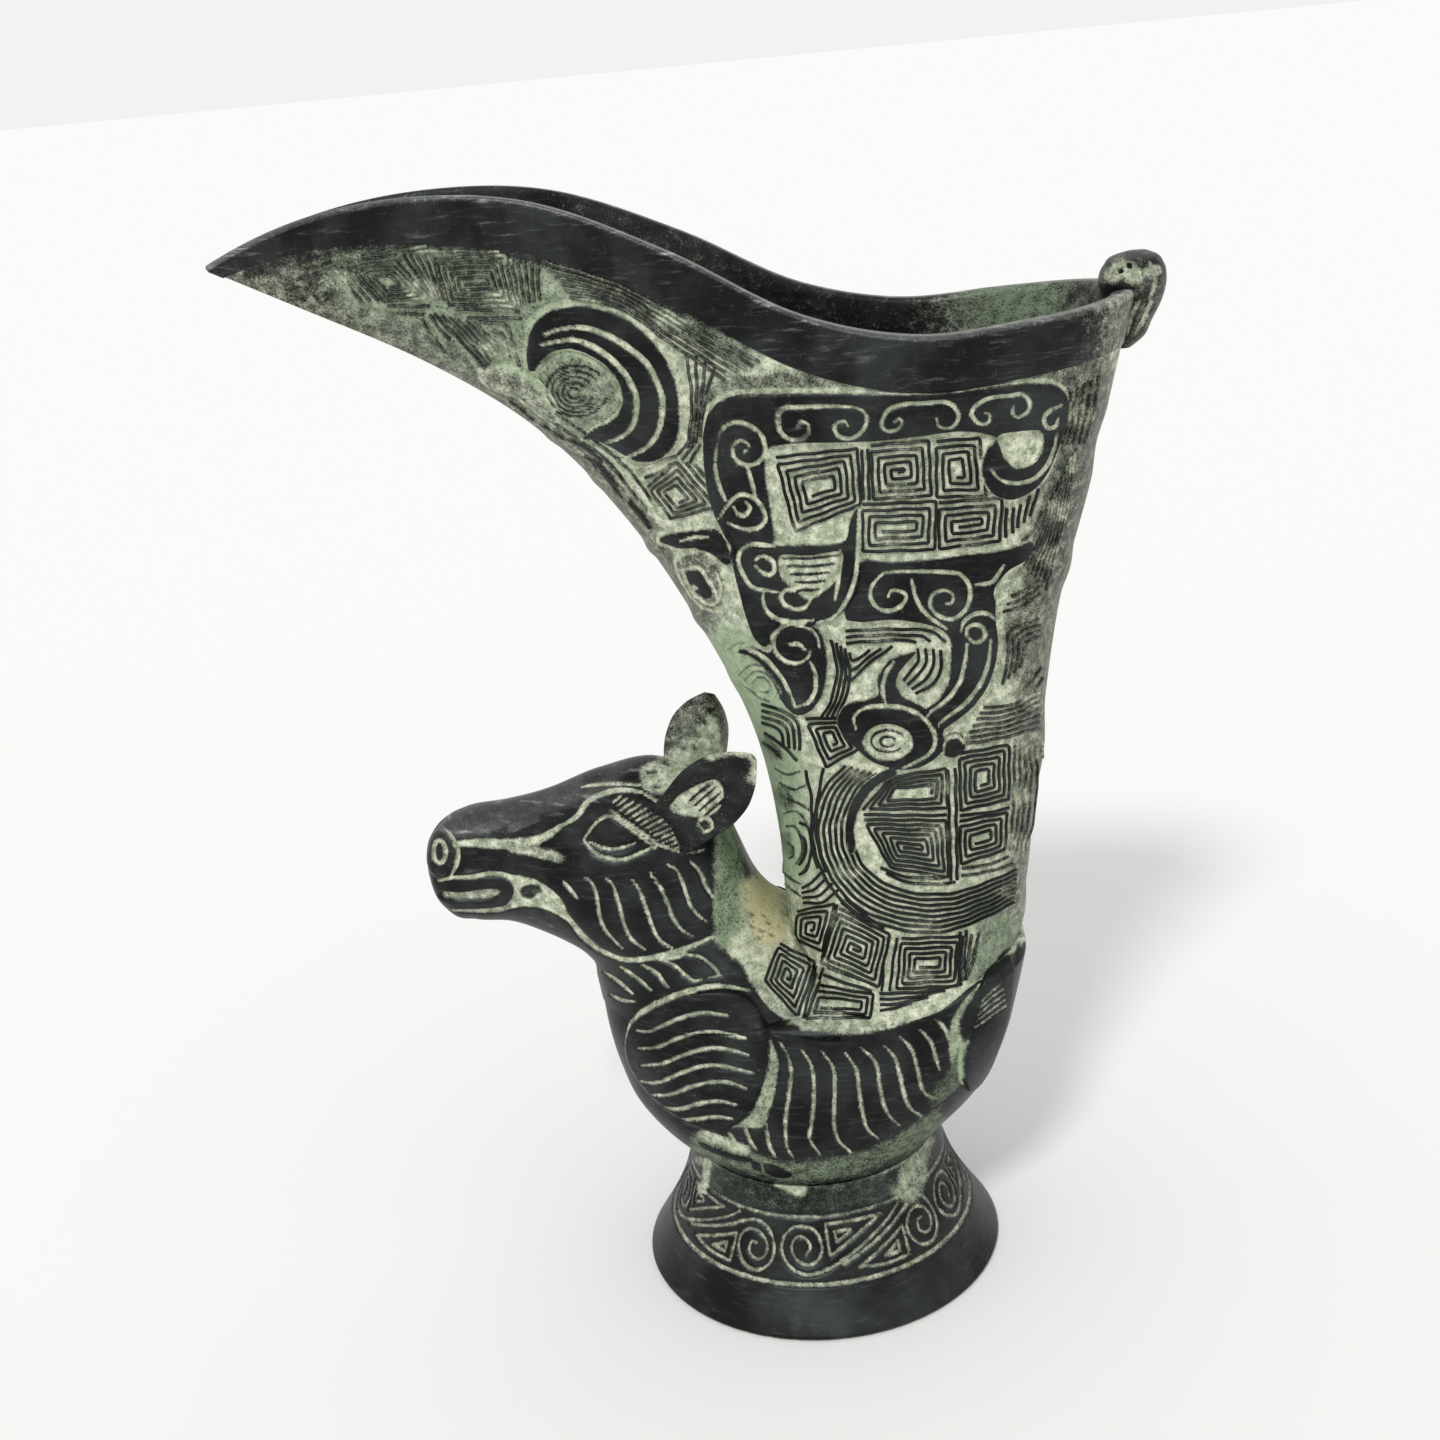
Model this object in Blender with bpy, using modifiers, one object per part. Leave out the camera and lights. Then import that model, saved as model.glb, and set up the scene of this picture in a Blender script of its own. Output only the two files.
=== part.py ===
"""Bronze vase: a spouted horn cup carried on a beast's back, standing on a flared round foot.

The spout and the beast's head point to -X, its left side to -Y, and Z is up. All sizes are in
metres. Every piece is cast bronze and is held by a spigot, a socket, a peg or a lap.
"""

import math
from typing import Callable, NamedTuple

import bmesh
import bpy
import numpy as np
from mathutils import Matrix, Vector

MM = 0.001

# Fits and mesh fineness
CLEARANCE = 0.3 * MM
AROUND = 48
HEAD_AROUND = 36
HEAD_STEPS = 3
EAR_AROUND = 24
PEG_AROUND = 20
BOSS_AROUND = 12
HORN_STEPS = 15
HORN_INSIDE_STEPS = 12
LIP_STEPS = 2
BELLY_STEPS = 10
BELLY_INSIDE_STEPS = 5
SOCKET_STEPS = 4
FLARE_STEPS = 8
EAR_STEPS = 10
SOFT_EDGE_ANGLE = 40.0

# Flared foot
FOOT_HEIGHT = 24.0 * MM
FOOT_BASE_RADIUS = 31.3 * MM
FOOT_NECK_RADIUS = 21.5 * MM
FOOT_FLARE = 1.6 * MM
FOOT_WALL = 3.2 * MM
FOOT_EDGE = 0.8 * MM

# Spigot under the belly, which stands in the foot's neck
SPIGOT_RADIUS = 18.0 * MM
SPIGOT_WALL = 3.0 * MM
SPIGOT_DEPTH = 3.5 * MM

# Belly bowl, its floor, its deck in front of the horn and the ledge that carries the horn
BELLY_WALL = 3.4 * MM
BELLY_FLOOR = 4.0 * MM
DECK_HEIGHT = 28.0 * MM
LEDGE_DROP = 8.0 * MM
LEDGE_THICKNESS = 3.0 * MM

# Plug in the belly's floor
PLUG_RADIUS = 8.7 * MM
PLUG_FLANGE_WIDTH = 3.0 * MM
PLUG_FLANGE_THICKNESS = 2.5 * MM

# Horn wall and the plain lip lapped into it
HORN_WALL = 3.2 * MM
LIP_LAP_DEPTH = 3.0 * MM

# Raised plates of the horn's relief, which are rooted in its wall
PLATE_RISE = 0.9 * MM
GREAT_HORN_RISE = 1.7 * MM
PLATE_ROOT = 1.2 * MM
PLATE_CUTTER_REACH = 40.0 * MM

# Tenon under the neck
TENON_RADIUS = 6.0 * MM
TENON_LENGTH = 5.0 * MM
TENON_SETBACK = 18.0 * MM

# Shoulders that run out from the neck to the belly's side: their height, and the shares of the
# neck's length between which they sink towards the horn
SHOULDER_HEIGHT = 7.0 * MM
SHOULDER_FULL_SHARE = 0.5
SHOULDER_END_SHARE = 0.84

# Ears and their pegs
EAR_THICKNESS = 2.8 * MM
EAR_DISH = 2.2 * MM
EAR_PEG_RADIUS = 1.4 * MM
EAR_PEG_LENGTH = 4.0 * MM
EAR_TOE_IN = 20.0

BELLY_SEAT = FOOT_HEIGHT
DECK = BELLY_SEAT + DECK_HEIGHT
HORN_SEAT = DECK - LEDGE_DROP


class Level(NamedTuple):
    """A level oval section, in millimetres: its height and reach, and how its two ends taper."""

    height: float
    front: float
    back: float
    half_width: float
    front_taper: float = 0.5
    back_taper: float = 0.5


class Slice(NamedTuple):
    """A slanted oval section of the neck and head, in millimetres, and how its high end tapers."""

    low: tuple
    high: tuple
    half_width: float
    high_taper: float = 0.5


class Swell(NamedTuple):
    """A soft swelling of the head's sides, in millimetres: its middle, how far it reaches and its rise."""

    x: float
    height: float
    reach_along: float
    reach_up: float
    rise: float


class Ear(NamedTuple):
    """An ear: its root on the head and its length, in millimetres, and its lean in degrees."""

    root: tuple
    length: float
    sweep: float
    splay: float


class Bronze(NamedTuple):
    """Colour and shine of one piece's bronze."""

    colour: tuple
    roughness: float
    metallic: float


# Belly above the foot: heights are from the foot's top, and the lowest section is the foot's neck
BELLY_LEVELS = (
    Level(3.5, -26.0, 24.6, 23.4),
    Level(9.0, -30.8, 29.5, 24.7, 0.5, 0.45),
    Level(15.0, -33.0, 32.6, 24.8, 0.5, 0.38),
    Level(21.0, -34.2, 34.6, 23.8, 0.5, 0.32),
    Level(27.0, -34.7, 36.0, 22.4, 0.5, 0.28),
    Level(35.0, -34.8, 37.8, 22.0, 0.5, 0.27),
    Level(45.0, -34.8, 39.3, 22.0, 0.5, 0.27),
)

# Top edge of the belly against the horn: distance along X, height above the deck
SADDLE_LINE = (
    (-40.0, 0.0), (-10.0, 0.0), (6.0, -0.6), (14.0, -0.4),
    (22.0, 2.2), (29.0, 5.6), (36.0, 6.8), (44.0, 7.0),
)

# Horn: heights are from its seat on the belly's ledge
HORN_LEVELS = (
    Level(0.0, 0.5, 30.0, 17.0),
    Level(10.0, -1.0, 34.4, 19.7),
    Level(22.0, -1.7, 38.1, 20.2),
    Level(36.0, -1.9, 40.2, 20.5),
    Level(56.0, -5.1, 42.7, 21.1, 0.52, 0.5),
    Level(74.0, -12.6, 45.8, 21.8, 0.58, 0.48),
    Level(92.0, -22.8, 50.9, 22.2, 0.66, 0.46),
    Level(106.0, -34.2, 54.2, 22.5, 0.76, 0.43),
    Level(118.0, -50.9, 57.0, 22.6, 0.95, 0.40),
    Level(128.0, -69.8, 59.0, 22.5, 1.2, 0.40),
    Level(144.0, -101.0, 62.5, 22.0, 1.5, 0.40),
)

# Outlines of the horn's raised plates seen from the side: distance along X, height above the horn's seat
DRAGON_FRAME = (
    (-7.4, 105.2), (-5.0, 110.2), (1.6, 111.2), (24.1, 109.0), (39.9, 109.4), (44.6, 107.4),
    (44.4, 102.3), (39.6, 94.2), (33.8, 94.6), (32.2, 99.5), (34.1, 103.1), (23.8, 104.3),
    (2.6, 103.9), (1.6, 99.1), (2.0, 90.3), (-4.4, 89.4), (-7.1, 95.5),
)
DRAGON_CHEST = ((-3.8, 87.6), (12.4, 88.0), (12.9, 85.0), (9.6, 78.6), (2.6, 78.0), (-2.6, 78.6))
DRAGON_TAIL = (
    (14.4, 86.2), (29.2, 86.2), (38.6, 86.4), (35.6, 82.5), (33.6, 78.2), (33.7, 71.7), (31.6, 64.3),
    (27.0, 61.2), (24.6, 64.6), (25.8, 66.7), (26.4, 73.5), (22.1, 76.4), (12.0, 78.6),
)
LOWER_SCROLL = (
    (9.2, 60.9), (11.5, 64.5), (15.6, 65.8), (16.2, 69.6), (20.4, 72.2), (18.6, 67.0), (20.6, 63.2),
    (22.2, 62.4), (24.4, 58.6), (24.6, 56.3), (18.9, 53.0), (11.9, 56.5),
)
FRONT_CURL = (
    (1.4, 76.6), (7.2, 76.6), (8.5, 71.0), (7.0, 64.7), (3.5, 61.5), (0.2, 66.8), (-4.6, 70.6), (0.6, 72.2),
)
FRONT_EYE = ((-12.8, 81.2), (-11.0, 85.0), (-9.0, 86.0), (-6.9, 82.4), (-8.4, 78.8), (-10.8, 77.9))
GREAT_HORN = (
    (-32.9, 116.4), (-32.6, 119.7), (-28.9, 124.8), (-22.9, 125.6), (-16.8, 123.5), (-11.9, 117.9),
    (-10.5, 108.2), (-13.1, 103.0), (-17.6, 101.7), (-24.1, 105.3), (-19.6, 109.9), (-19.3, 115.1),
    (-24.9, 118.9), (-30.0, 118.1),
)
GREAT_HORN_BOSS = (-25.4, 113.2)
GREAT_HORN_BOSS_RADIUS = 4.6

# Lip: distance along X, height above the horn's seat, and the depth of the plain band below it
LIP_LINE = (
    (-100.0, 124.0), (-82.0, 134.5), (-66.0, 140.2), (-47.0, 142.4), (-30.0, 140.6),
    (-10.0, 132.3), (8.0, 122.4), (24.0, 118.4), (40.0, 118.9), (60.0, 120.4),
)
LIP_DEPTH = ((-84.0, 2.6), (-66.0, 4.6), (-45.0, 7.0), (-10.0, 7.6), (25.0, 8.0), (58.0, 7.6))

# Neck and head: heights are from the belly's deck
HEAD_SLICES = (
    Slice((-34.9, 0.0), (6.0, 0.0), 19.5, 0.32),
    Slice((-35.2, 2.6), (1.0, 9.0), 17.8, 0.38),
    Slice((-35.3, 3.7), (-5.5, 17.0), 15.6, 0.42),
    Slice((-35.3, 4.6), (-9.0, 26.5), 13.2),
    Slice((-35.4, 5.4), (-12.0, 35.5), 12.6),
    Slice((-35.7, 6.2), (-21.0, 41.2), 12.3),
    Slice((-37.5, 8.3), (-30.5, 40.2), 11.3),
    Slice((-42.5, 11.4), (-39.5, 38.0), 9.3),
    Slice((-48.5, 14.0), (-47.5, 36.4), 7.7),
    Slice((-54.5, 14.7), (-54.5, 35.0), 6.9),
    Slice((-58.4, 16.0), (-58.4, 32.6), 6.2),
    Slice((-60.7, 19.5), (-60.7, 29.3), 4.4),
    Slice((-61.5, 22.5), (-61.5, 26.8), 2.2),
)

# Swellings of the head: brow, eye socket, cheek and lips, with heights from the belly's deck
HEAD_SWELLS = (
    Swell(-25.1, 35.4, 11.0, 5.0, 1.0),
    Swell(-28.6, 31.4, 8.0, 4.5, -0.6),
    Swell(-23.9, 20.5, 14.0, 10.0, 0.8),
    Swell(-52.9, 22.0, 8.0, 4.5, 0.4),
)

# Ears: the root's height is from the belly's deck, and half widths run from root to tip
LEFT_EAR = Ear((-20.0, -7.6, 31.0), 24.0, 45.0, 22.0)
RIGHT_EAR = Ear((-17.4, 7.6, 29.0), 20.0, 16.0, 24.0)
EAR_HALF_WIDTHS = ((0.0, 4.4), (0.3, 5.2), (0.6, 5.8), (0.8, 4.8), (0.93, 2.8), (1.0, 1.0))

# Small beast on the back of the lip: heights are from the horn's seat
RIM_BEAST_LEVELS = (
    Level(110.8, 55.0, 57.4, 1.6),
    Level(112.2, 54.5, 59.2, 3.2),
    Level(114.8, 54.0, 60.6, 4.6),
    Level(118.0, 53.4, 62.2, 5.6),
    Level(121.0, 52.8, 62.8, 6.0),
    Level(123.0, 53.6, 62.4, 5.2),
    Level(124.4, 55.2, 61.2, 3.4),
    Level(124.9, 57.0, 60.0, 1.4),
)

BRONZES = {
    "foot_ring": Bronze((0.098, 0.112, 0.092), 0.52, 0.85),
    "belly_shell": Bronze((0.072, 0.083, 0.070), 0.50, 0.85),
    "core_plug": Bronze((0.085, 0.095, 0.080), 0.55, 0.85),
    "horn_cup": Bronze((0.105, 0.130, 0.098), 0.50, 0.80),
    "rim_band": Bronze((0.040, 0.044, 0.042), 0.42, 0.90),
    "beast_head": Bronze((0.080, 0.092, 0.076), 0.50, 0.85),
    "left_ear": Bronze((0.048, 0.053, 0.048), 0.48, 0.85),
    "right_ear": Bronze((0.090, 0.102, 0.082), 0.52, 0.85),
    "rim_beast": Bronze((0.060, 0.066, 0.060), 0.45, 0.88),
}

Curve = Callable[[float], float]
Ring = list


def smooth_curve(points) -> Curve:
    """A smooth function through (position, value) points that runs on straight past both ends."""
    positions = np.array([p for p, _ in points], dtype=float)
    values = np.array([v for _, v in points], dtype=float)
    slopes = np.gradient(values, positions)

    def curve(position: float) -> float:
        if position <= positions[0]:
            return float(values[0] + slopes[0] * (position - positions[0]))
        if position >= positions[-1]:
            return float(values[-1] + slopes[-1] * (position - positions[-1]))
        k = int(np.searchsorted(positions, position, side="right")) - 1
        span = positions[k + 1] - positions[k]
        s = (position - positions[k]) / span
        rise = (1 + 2 * s) * (1 - s) ** 2 * values[k] + s * s * (3 - 2 * s) * values[k + 1]
        lean = s * (1 - s) ** 2 * slopes[k] - s * s * (1 - s) * slopes[k + 1]
        return float(rise + span * lean)

    return curve


def line_in_metres(points, base: float) -> Curve:
    """A smooth line of heights over X, given in millimetres above a base height."""
    return smooth_curve([(x * MM, base + z * MM) for x, z in points])


def oval_bulge(share: float, first_taper: float, last_taper: float) -> float:
    """Width of an oval along its length, 1 where it is widest: a taper of 0.5 is a round end."""
    if share <= 0 or share >= 1:
        return 0.0
    fullest = first_taper / (first_taper + last_taper)
    peak = fullest ** first_taper * (1 - fullest) ** last_taper
    return share ** first_taper * (1 - share) ** last_taper / peak


class Stack:
    """A shape made of level ovals: it gives any point of its skin, or of a skin inset from it."""

    def __init__(self, levels, base: float):
        heights = [base + row.height * MM for row in levels]
        self.lowest = heights[0]
        self.highest = heights[-1]
        self.front = smooth_curve(list(zip(heights, [row.front * MM for row in levels])))
        self.back = smooth_curve(list(zip(heights, [row.back * MM for row in levels])))
        self.half_width = smooth_curve(list(zip(heights, [row.half_width * MM for row in levels])))
        self.front_taper = smooth_curve(list(zip(heights, [row.front_taper for row in levels])))
        self.back_taper = smooth_curve(list(zip(heights, [row.back_taper for row in levels])))

    def point(self, turn: float, z: float, inset: float = 0.0) -> Vector:
        """The point at a turn round the oval (0 in front, pi at the back), inset along the wall."""
        step = 1.0 * MM
        lean_front = (self.front(z + step) - self.front(z - step)) / (2 * step)
        lean_back = (self.back(z + step) - self.back(z - step)) / (2 * step)
        front = self.front(z) + inset * math.hypot(1, lean_front)
        back = self.back(z) - inset * math.hypot(1, lean_back)
        share = (1 - math.cos(turn)) / 2
        bulge = oval_bulge(share, self.front_taper(z), self.back_taper(z))
        y = math.copysign((self.half_width(z) - inset) * bulge, math.sin(turn))
        return Vector((front + (back - front) * share, y, z))

    def width_at(self, x: float, z: float) -> float:
        """Half the width of the oval at a place along X."""
        share = (x - self.front(z)) / (self.back(z) - self.front(z))
        return self.half_width(z) * oval_bulge(share, self.front_taper(z), self.back_taper(z))

    def height_on(self, line: Curve, turn: float, inset: float = 0.0) -> float:
        """The height at which the skin, going up at this turn, meets a line of heights over X."""
        low = self.lowest
        high = self.highest
        for _ in range(40):
            middle = (low + high) / 2
            if middle < line(self.point(turn, middle, inset).x):
                low = middle
            else:
                high = middle
        return (low + high) / 2

    def ring(self, z: float, inset: float = 0.0) -> Ring:
        """A level ring of points of the skin."""
        return [self.point(turn, z, inset) for turn in TURNS]

    def ring_on(self, line: Curve, inset: float = 0.0) -> Ring:
        """A ring of points where the skin meets a line of heights."""
        return [self.point(turn, self.height_on(line, turn, inset), inset) for turn in TURNS]

    def rings_between(self, low: list, high: list, count: int, inset: float = 0.0) -> list:
        """Evenly spaced rings of the skin from a list of heights per turn to another, both included."""
        rings = []
        for k in range(count + 1):
            share = k / count
            heights = [a + (b - a) * share for a, b in zip(low, high)]
            rings.append([self.point(turn, z, inset) for turn, z in zip(TURNS, heights)])
        return rings


TURNS = [2 * math.pi * k / AROUND for k in range(AROUND)]

foot_level = Level(0.0, -FOOT_NECK_RADIUS / MM, FOOT_NECK_RADIUS / MM, FOOT_NECK_RADIUS / MM)
belly = Stack((foot_level,) + BELLY_LEVELS, BELLY_SEAT)
horn = Stack(HORN_LEVELS, HORN_SEAT)
rim_beast = Stack(RIM_BEAST_LEVELS, HORN_SEAT)
saddle_line = line_in_metres(SADDLE_LINE, DECK)
lip_line = line_in_metres(LIP_LINE, HORN_SEAT)
lip_depth = line_in_metres(LIP_DEPTH, 0.0)


def band_line(x: float) -> float:
    """Height of the lower edge of the plain lip."""
    return lip_line(x) - lip_depth(x)


def circle(radius: float, z: float) -> Ring:
    """A level ring about the foot's axis, with its first point in front."""
    return [Vector((-radius * math.cos(turn), radius * math.sin(turn), z)) for turn in TURNS]


def new_object(name: str, mesh, collection) -> bpy.types.Object:
    """Put a mesh in the scene as a named object of a collection."""
    piece = bpy.data.objects.new(name, mesh)
    collection.objects.link(piece)
    return piece


def skin_mesh(name: str, rings: list, looped: bool) -> bpy.types.Mesh:
    """Loft equal rings into quads. A looped wall joins its last ring to its first, others get caps."""
    bm = bmesh.new()
    rows = [[bm.verts.new(point) for point in ring] for ring in rings]
    count = len(rings[0])
    pairs = list(zip(rows, rows[1:]))
    if looped:
        pairs.append((rows[-1], rows[0]))
    for lower, upper in pairs:
        for k in range(count):
            n = (k + 1) % count
            bm.faces.new((lower[k], lower[n], upper[n], upper[k]))
    if not looped:
        for row in (rows[0], rows[-1]):
            cap_across(bm, row)
    bmesh.ops.recalc_face_normals(bm, faces=bm.faces)
    mesh = bpy.data.meshes.new(name)
    bm.to_mesh(mesh)
    bm.free()
    return mesh


def cap_across(bm, row: list) -> None:
    """Close a ring with strips that run straight across from its left side to its right side."""
    count = len(row)
    for k in range(count // 2):
        corners = [row[k], row[k + 1], row[(count - k - 1) % count], row[(count - k) % count]]
        unique = list(dict.fromkeys(corners))
        bm.faces.new(unique)


def turned_mesh(name: str, profile: list) -> bpy.types.Mesh:
    """A profile of (radius, height) points, joined by edges from first to last."""
    mesh = bpy.data.meshes.new(name)
    edges = [(k, k + 1) for k in range(len(profile) - 1)]
    mesh.from_pydata([(r, 0.0, z) for r, z in profile], edges, [])
    return mesh


def turn_about_z(piece) -> None:
    """Sweep a profile a full turn about the foot's axis."""
    screw = piece.modifiers.new("turn", "SCREW")
    screw.axis = "Z"
    screw.angle = 2 * math.pi
    screw.steps = AROUND
    screw.render_steps = AROUND
    screw.use_merge_vertices = True
    screw.merge_threshold = 0.01 * MM
    screw.use_smooth_shade = True


def cut(piece, cutter, operation: str = "DIFFERENCE") -> None:
    """Cut a piece with a cutter, or join the cutter to it."""
    boolean = piece.modifiers.new(cutter.name, "BOOLEAN")
    boolean.object = cutter
    boolean.operation = operation
    boolean.solver = "EXACT"


def cutter_object(name: str, mesh) -> bpy.types.Object:
    """A hidden tool shape, kept apart from the pieces."""
    piece = new_object(name, mesh, tools)
    piece.hide_render = True
    piece.display_type = "WIRE"
    piece.parent = origin
    return piece


def cylinder_mesh(name: str, radius: float, bottom: float, top: float) -> bpy.types.Mesh:
    """A capped cylinder along Z."""
    bm = bmesh.new()
    place = Matrix.Translation((0, 0, (bottom + top) / 2))
    bmesh.ops.create_cone(bm, cap_ends=True, segments=PEG_AROUND, radius1=radius, radius2=radius,
                          depth=top - bottom, matrix=place)
    mesh = bpy.data.meshes.new(name)
    bm.to_mesh(mesh)
    bm.free()
    return mesh


def prisms_mesh(name: str, outlines: list) -> bpy.types.Mesh:
    """Side-view outlines on the horn, each drawn out across the whole vase into a prism."""
    bm = bmesh.new()
    for outline in outlines:
        sides = []
        for y in (-PLATE_CUTTER_REACH, PLATE_CUTTER_REACH):
            sides.append([bm.verts.new((x * MM, y, HORN_SEAT + z * MM)) for x, z in outline])
        near, far = sides
        for k in range(len(outline)):
            n = (k + 1) % len(outline)
            bm.faces.new((near[k], near[n], far[n], far[k]))
        bm.faces.new(near)
        bm.faces.new(far)
    bmesh.ops.recalc_face_normals(bm, faces=bm.faces)
    mesh = bpy.data.meshes.new(name)
    bm.to_mesh(mesh)
    bm.free()
    return mesh


def finish(piece) -> None:
    """Give a piece its bronze, smooth shading and its place under the vase's origin."""
    bronze = BRONZES[piece.name]
    material = bpy.data.materials.new(piece.name + "_bronze")
    material.use_nodes = True
    shader = material.node_tree.nodes["Principled BSDF"]
    shader.inputs["Base Color"].default_value = (*bronze.colour, 1.0)
    shader.inputs["Roughness"].default_value = bronze.roughness
    shader.inputs["Metallic"].default_value = bronze.metallic
    piece.data.materials.append(material)
    if piece.data.polygons:
        piece.data.shade_smooth()
        piece.data.set_sharp_from_angle(angle=math.radians(SOFT_EDGE_ANGLE))
    piece.parent = origin


def build_foot() -> None:
    """Flared foot, hollow beneath, with a bore in its neck for the belly's spigot."""
    top = FOOT_HEIGHT - CLEARANCE
    bore = SPIGOT_RADIUS + CLEARANCE
    neck_bottom = FOOT_HEIGHT - SPIGOT_DEPTH - CLEARANCE
    outer = []
    for k in range(FLARE_STEPS + 1):
        share = k / FLARE_STEPS
        sag = FOOT_FLARE * math.sin(math.pi * share)
        radius = FOOT_NECK_RADIUS + (FOOT_BASE_RADIUS - FOOT_NECK_RADIUS) * share - sag
        outer.append((radius, top + (FOOT_EDGE - top) * share))
    inner = [(radius - FOOT_WALL, z) for radius, z in reversed(outer) if z < neck_bottom]
    base = [(FOOT_BASE_RADIUS - FOOT_EDGE, 0.0), (FOOT_BASE_RADIUS - FOOT_WALL, 0.0)]
    profile = [(bore, top)] + outer + base + inner + [(bore, neck_bottom), (bore, top)]
    mesh = turned_mesh("foot_ring", profile[:-1])
    mesh.edges.add(1)
    mesh.edges[-1].vertices = (len(profile) - 2, 0)
    foot = new_object("foot_ring", mesh, pieces)
    turn_about_z(foot)
    finish(foot)


def build_plug() -> None:
    """Stepped disc: a boss in the hole of the belly's floor and a flange beneath it."""
    boss_top = BELLY_SEAT + BELLY_FLOOR
    flange_top = BELLY_SEAT - CLEARANCE
    flange_radius = PLUG_RADIUS + PLUG_FLANGE_WIDTH
    flange_bottom = flange_top - PLUG_FLANGE_THICKNESS
    profile = [
        (0.0, boss_top), (PLUG_RADIUS, boss_top), (PLUG_RADIUS, flange_top),
        (flange_radius, flange_top), (flange_radius, flange_bottom), (0.0, flange_bottom),
    ]
    plug = new_object("core_plug", turned_mesh("core_plug", profile), pieces)
    turn_about_z(plug)
    finish(plug)


def build_belly(tenon_socket) -> None:
    """The beast's body: a bowl with the horn's socket and ledge, and a spigot for the foot."""
    seat = [BELLY_SEAT] * AROUND
    edge = [belly.height_on(saddle_line, turn) for turn in TURNS]
    ledge_top = HORN_SEAT - CLEARANCE
    ledge_bottom = ledge_top - LEDGE_THICKNESS
    floor_top = BELLY_SEAT + BELLY_FLOOR
    mouth = [horn.height_on(saddle_line, turn, -CLEARANCE) for turn in TURNS]
    hole = PLUG_RADIUS + CLEARANCE
    rings = belly.rings_between(seat, edge, BELLY_STEPS)
    rings += horn.rings_between(mouth, [ledge_top] * AROUND, SOCKET_STEPS, -CLEARANCE)
    rings.append(horn.ring(ledge_top, HORN_WALL))
    rings.append([Vector((p.x, p.y, ledge_bottom)) for p in horn.ring(ledge_top, HORN_WALL)])
    lowest = [floor_top] * AROUND
    rings += belly.rings_between([ledge_bottom] * AROUND, lowest, BELLY_INSIDE_STEPS, BELLY_WALL)
    rings.append(circle(hole, floor_top))
    rings.append(circle(hole, BELLY_SEAT))
    rings.append(circle(SPIGOT_RADIUS - SPIGOT_WALL, BELLY_SEAT))
    rings.append(circle(SPIGOT_RADIUS - SPIGOT_WALL, BELLY_SEAT - SPIGOT_DEPTH))
    rings.append(circle(SPIGOT_RADIUS, BELLY_SEAT - SPIGOT_DEPTH))
    rings.append(circle(SPIGOT_RADIUS, BELLY_SEAT))
    body = new_object("belly_shell", skin_mesh("belly_shell", rings, looped=True), pieces)
    finish(body)
    cut(body, tenon_socket)


def build_horn() -> None:
    """Horn wall, open at both ends, with a step inside its top edge for the lip's skirt."""
    seat = [HORN_SEAT] * AROUND
    lap = HORN_WALL / 2

    def top_line(x: float) -> float:
        return band_line(x) - CLEARANCE

    def step_line(x: float) -> float:
        return top_line(x) - LIP_LAP_DEPTH

    top = [horn.height_on(top_line, turn) for turn in TURNS]
    rings = horn.rings_between(seat, top, HORN_STEPS)
    rings.append(horn.ring_on(top_line, lap))
    rings.append(horn.ring_on(step_line, lap))
    step = [horn.height_on(step_line, turn, HORN_WALL) for turn in TURNS]
    rings += horn.rings_between(step, seat, HORN_INSIDE_STEPS, HORN_WALL)
    cup = new_object("horn_cup", skin_mesh("horn_cup", rings, looped=True), pieces)
    finish(cup)
    dragon = [DRAGON_FRAME, DRAGON_CHEST, DRAGON_TAIL, LOWER_SCROLL, FRONT_CURL, FRONT_EYE]
    raise_plates(cup, "dragon", PLATE_RISE, dragon, seat, top)
    raise_plates(cup, "great_horn", GREAT_HORN_RISE, [GREAT_HORN, boss_outline()], seat, top)


def boss_outline() -> list:
    """Outline of the round boss inside the great horn, seen from the side."""
    boss_x, boss_z = GREAT_HORN_BOSS
    turns = [2 * math.pi * k / BOSS_AROUND for k in range(BOSS_AROUND)]
    reach = GREAT_HORN_BOSS_RADIUS
    return [(boss_x + reach * math.cos(turn), boss_z + reach * math.sin(turn)) for turn in turns]


def raise_plates(cup, name: str, rise: float, outlines: list, seat: list, top: list) -> None:
    """Raise outlined plates on both sides of the horn, following its skin and rooted in its wall."""
    rings = horn.rings_between(seat, top, HORN_STEPS, -rise)
    rings += horn.rings_between(top, seat, HORN_STEPS, PLATE_ROOT)
    plates = cutter_object(name + "_plates", skin_mesh(name + "_plates", rings, looped=True))
    outlined = cutter_object(name + "_outlines", prisms_mesh(name + "_outlines", outlines))
    cut(plates, outlined, "INTERSECT")
    cut(cup, plates, "UNION")


def build_lip() -> None:
    """Plain lip with the pointed spout, whose skirt drops inside the horn's top edge."""
    lap = HORN_WALL / 2 + CLEARANCE

    def skirt_line(x: float) -> float:
        return band_line(x) - LIP_LAP_DEPTH

    band = [horn.height_on(band_line, turn) for turn in TURNS]
    brim = [horn.height_on(lip_line, turn) for turn in TURNS]
    inner_brim = [horn.height_on(lip_line, turn, HORN_WALL) for turn in TURNS]
    skirt = [horn.height_on(skirt_line, turn, HORN_WALL) for turn in TURNS]
    rings = horn.rings_between(band, brim, LIP_STEPS)
    rings += horn.rings_between(inner_brim, skirt, LIP_STEPS, HORN_WALL)
    rings.append(horn.ring_on(skirt_line, lap))
    rings.append(horn.ring_on(band_line, lap))
    lip = new_object("rim_band", skin_mesh("rim_band", rings, looped=True), pieces)
    finish(lip)


def soft_step(share: float) -> float:
    """An even rise from 0 to 1."""
    share = min(max(share, 0.0), 1.0)
    return share * share * (3 - 2 * share)


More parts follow.
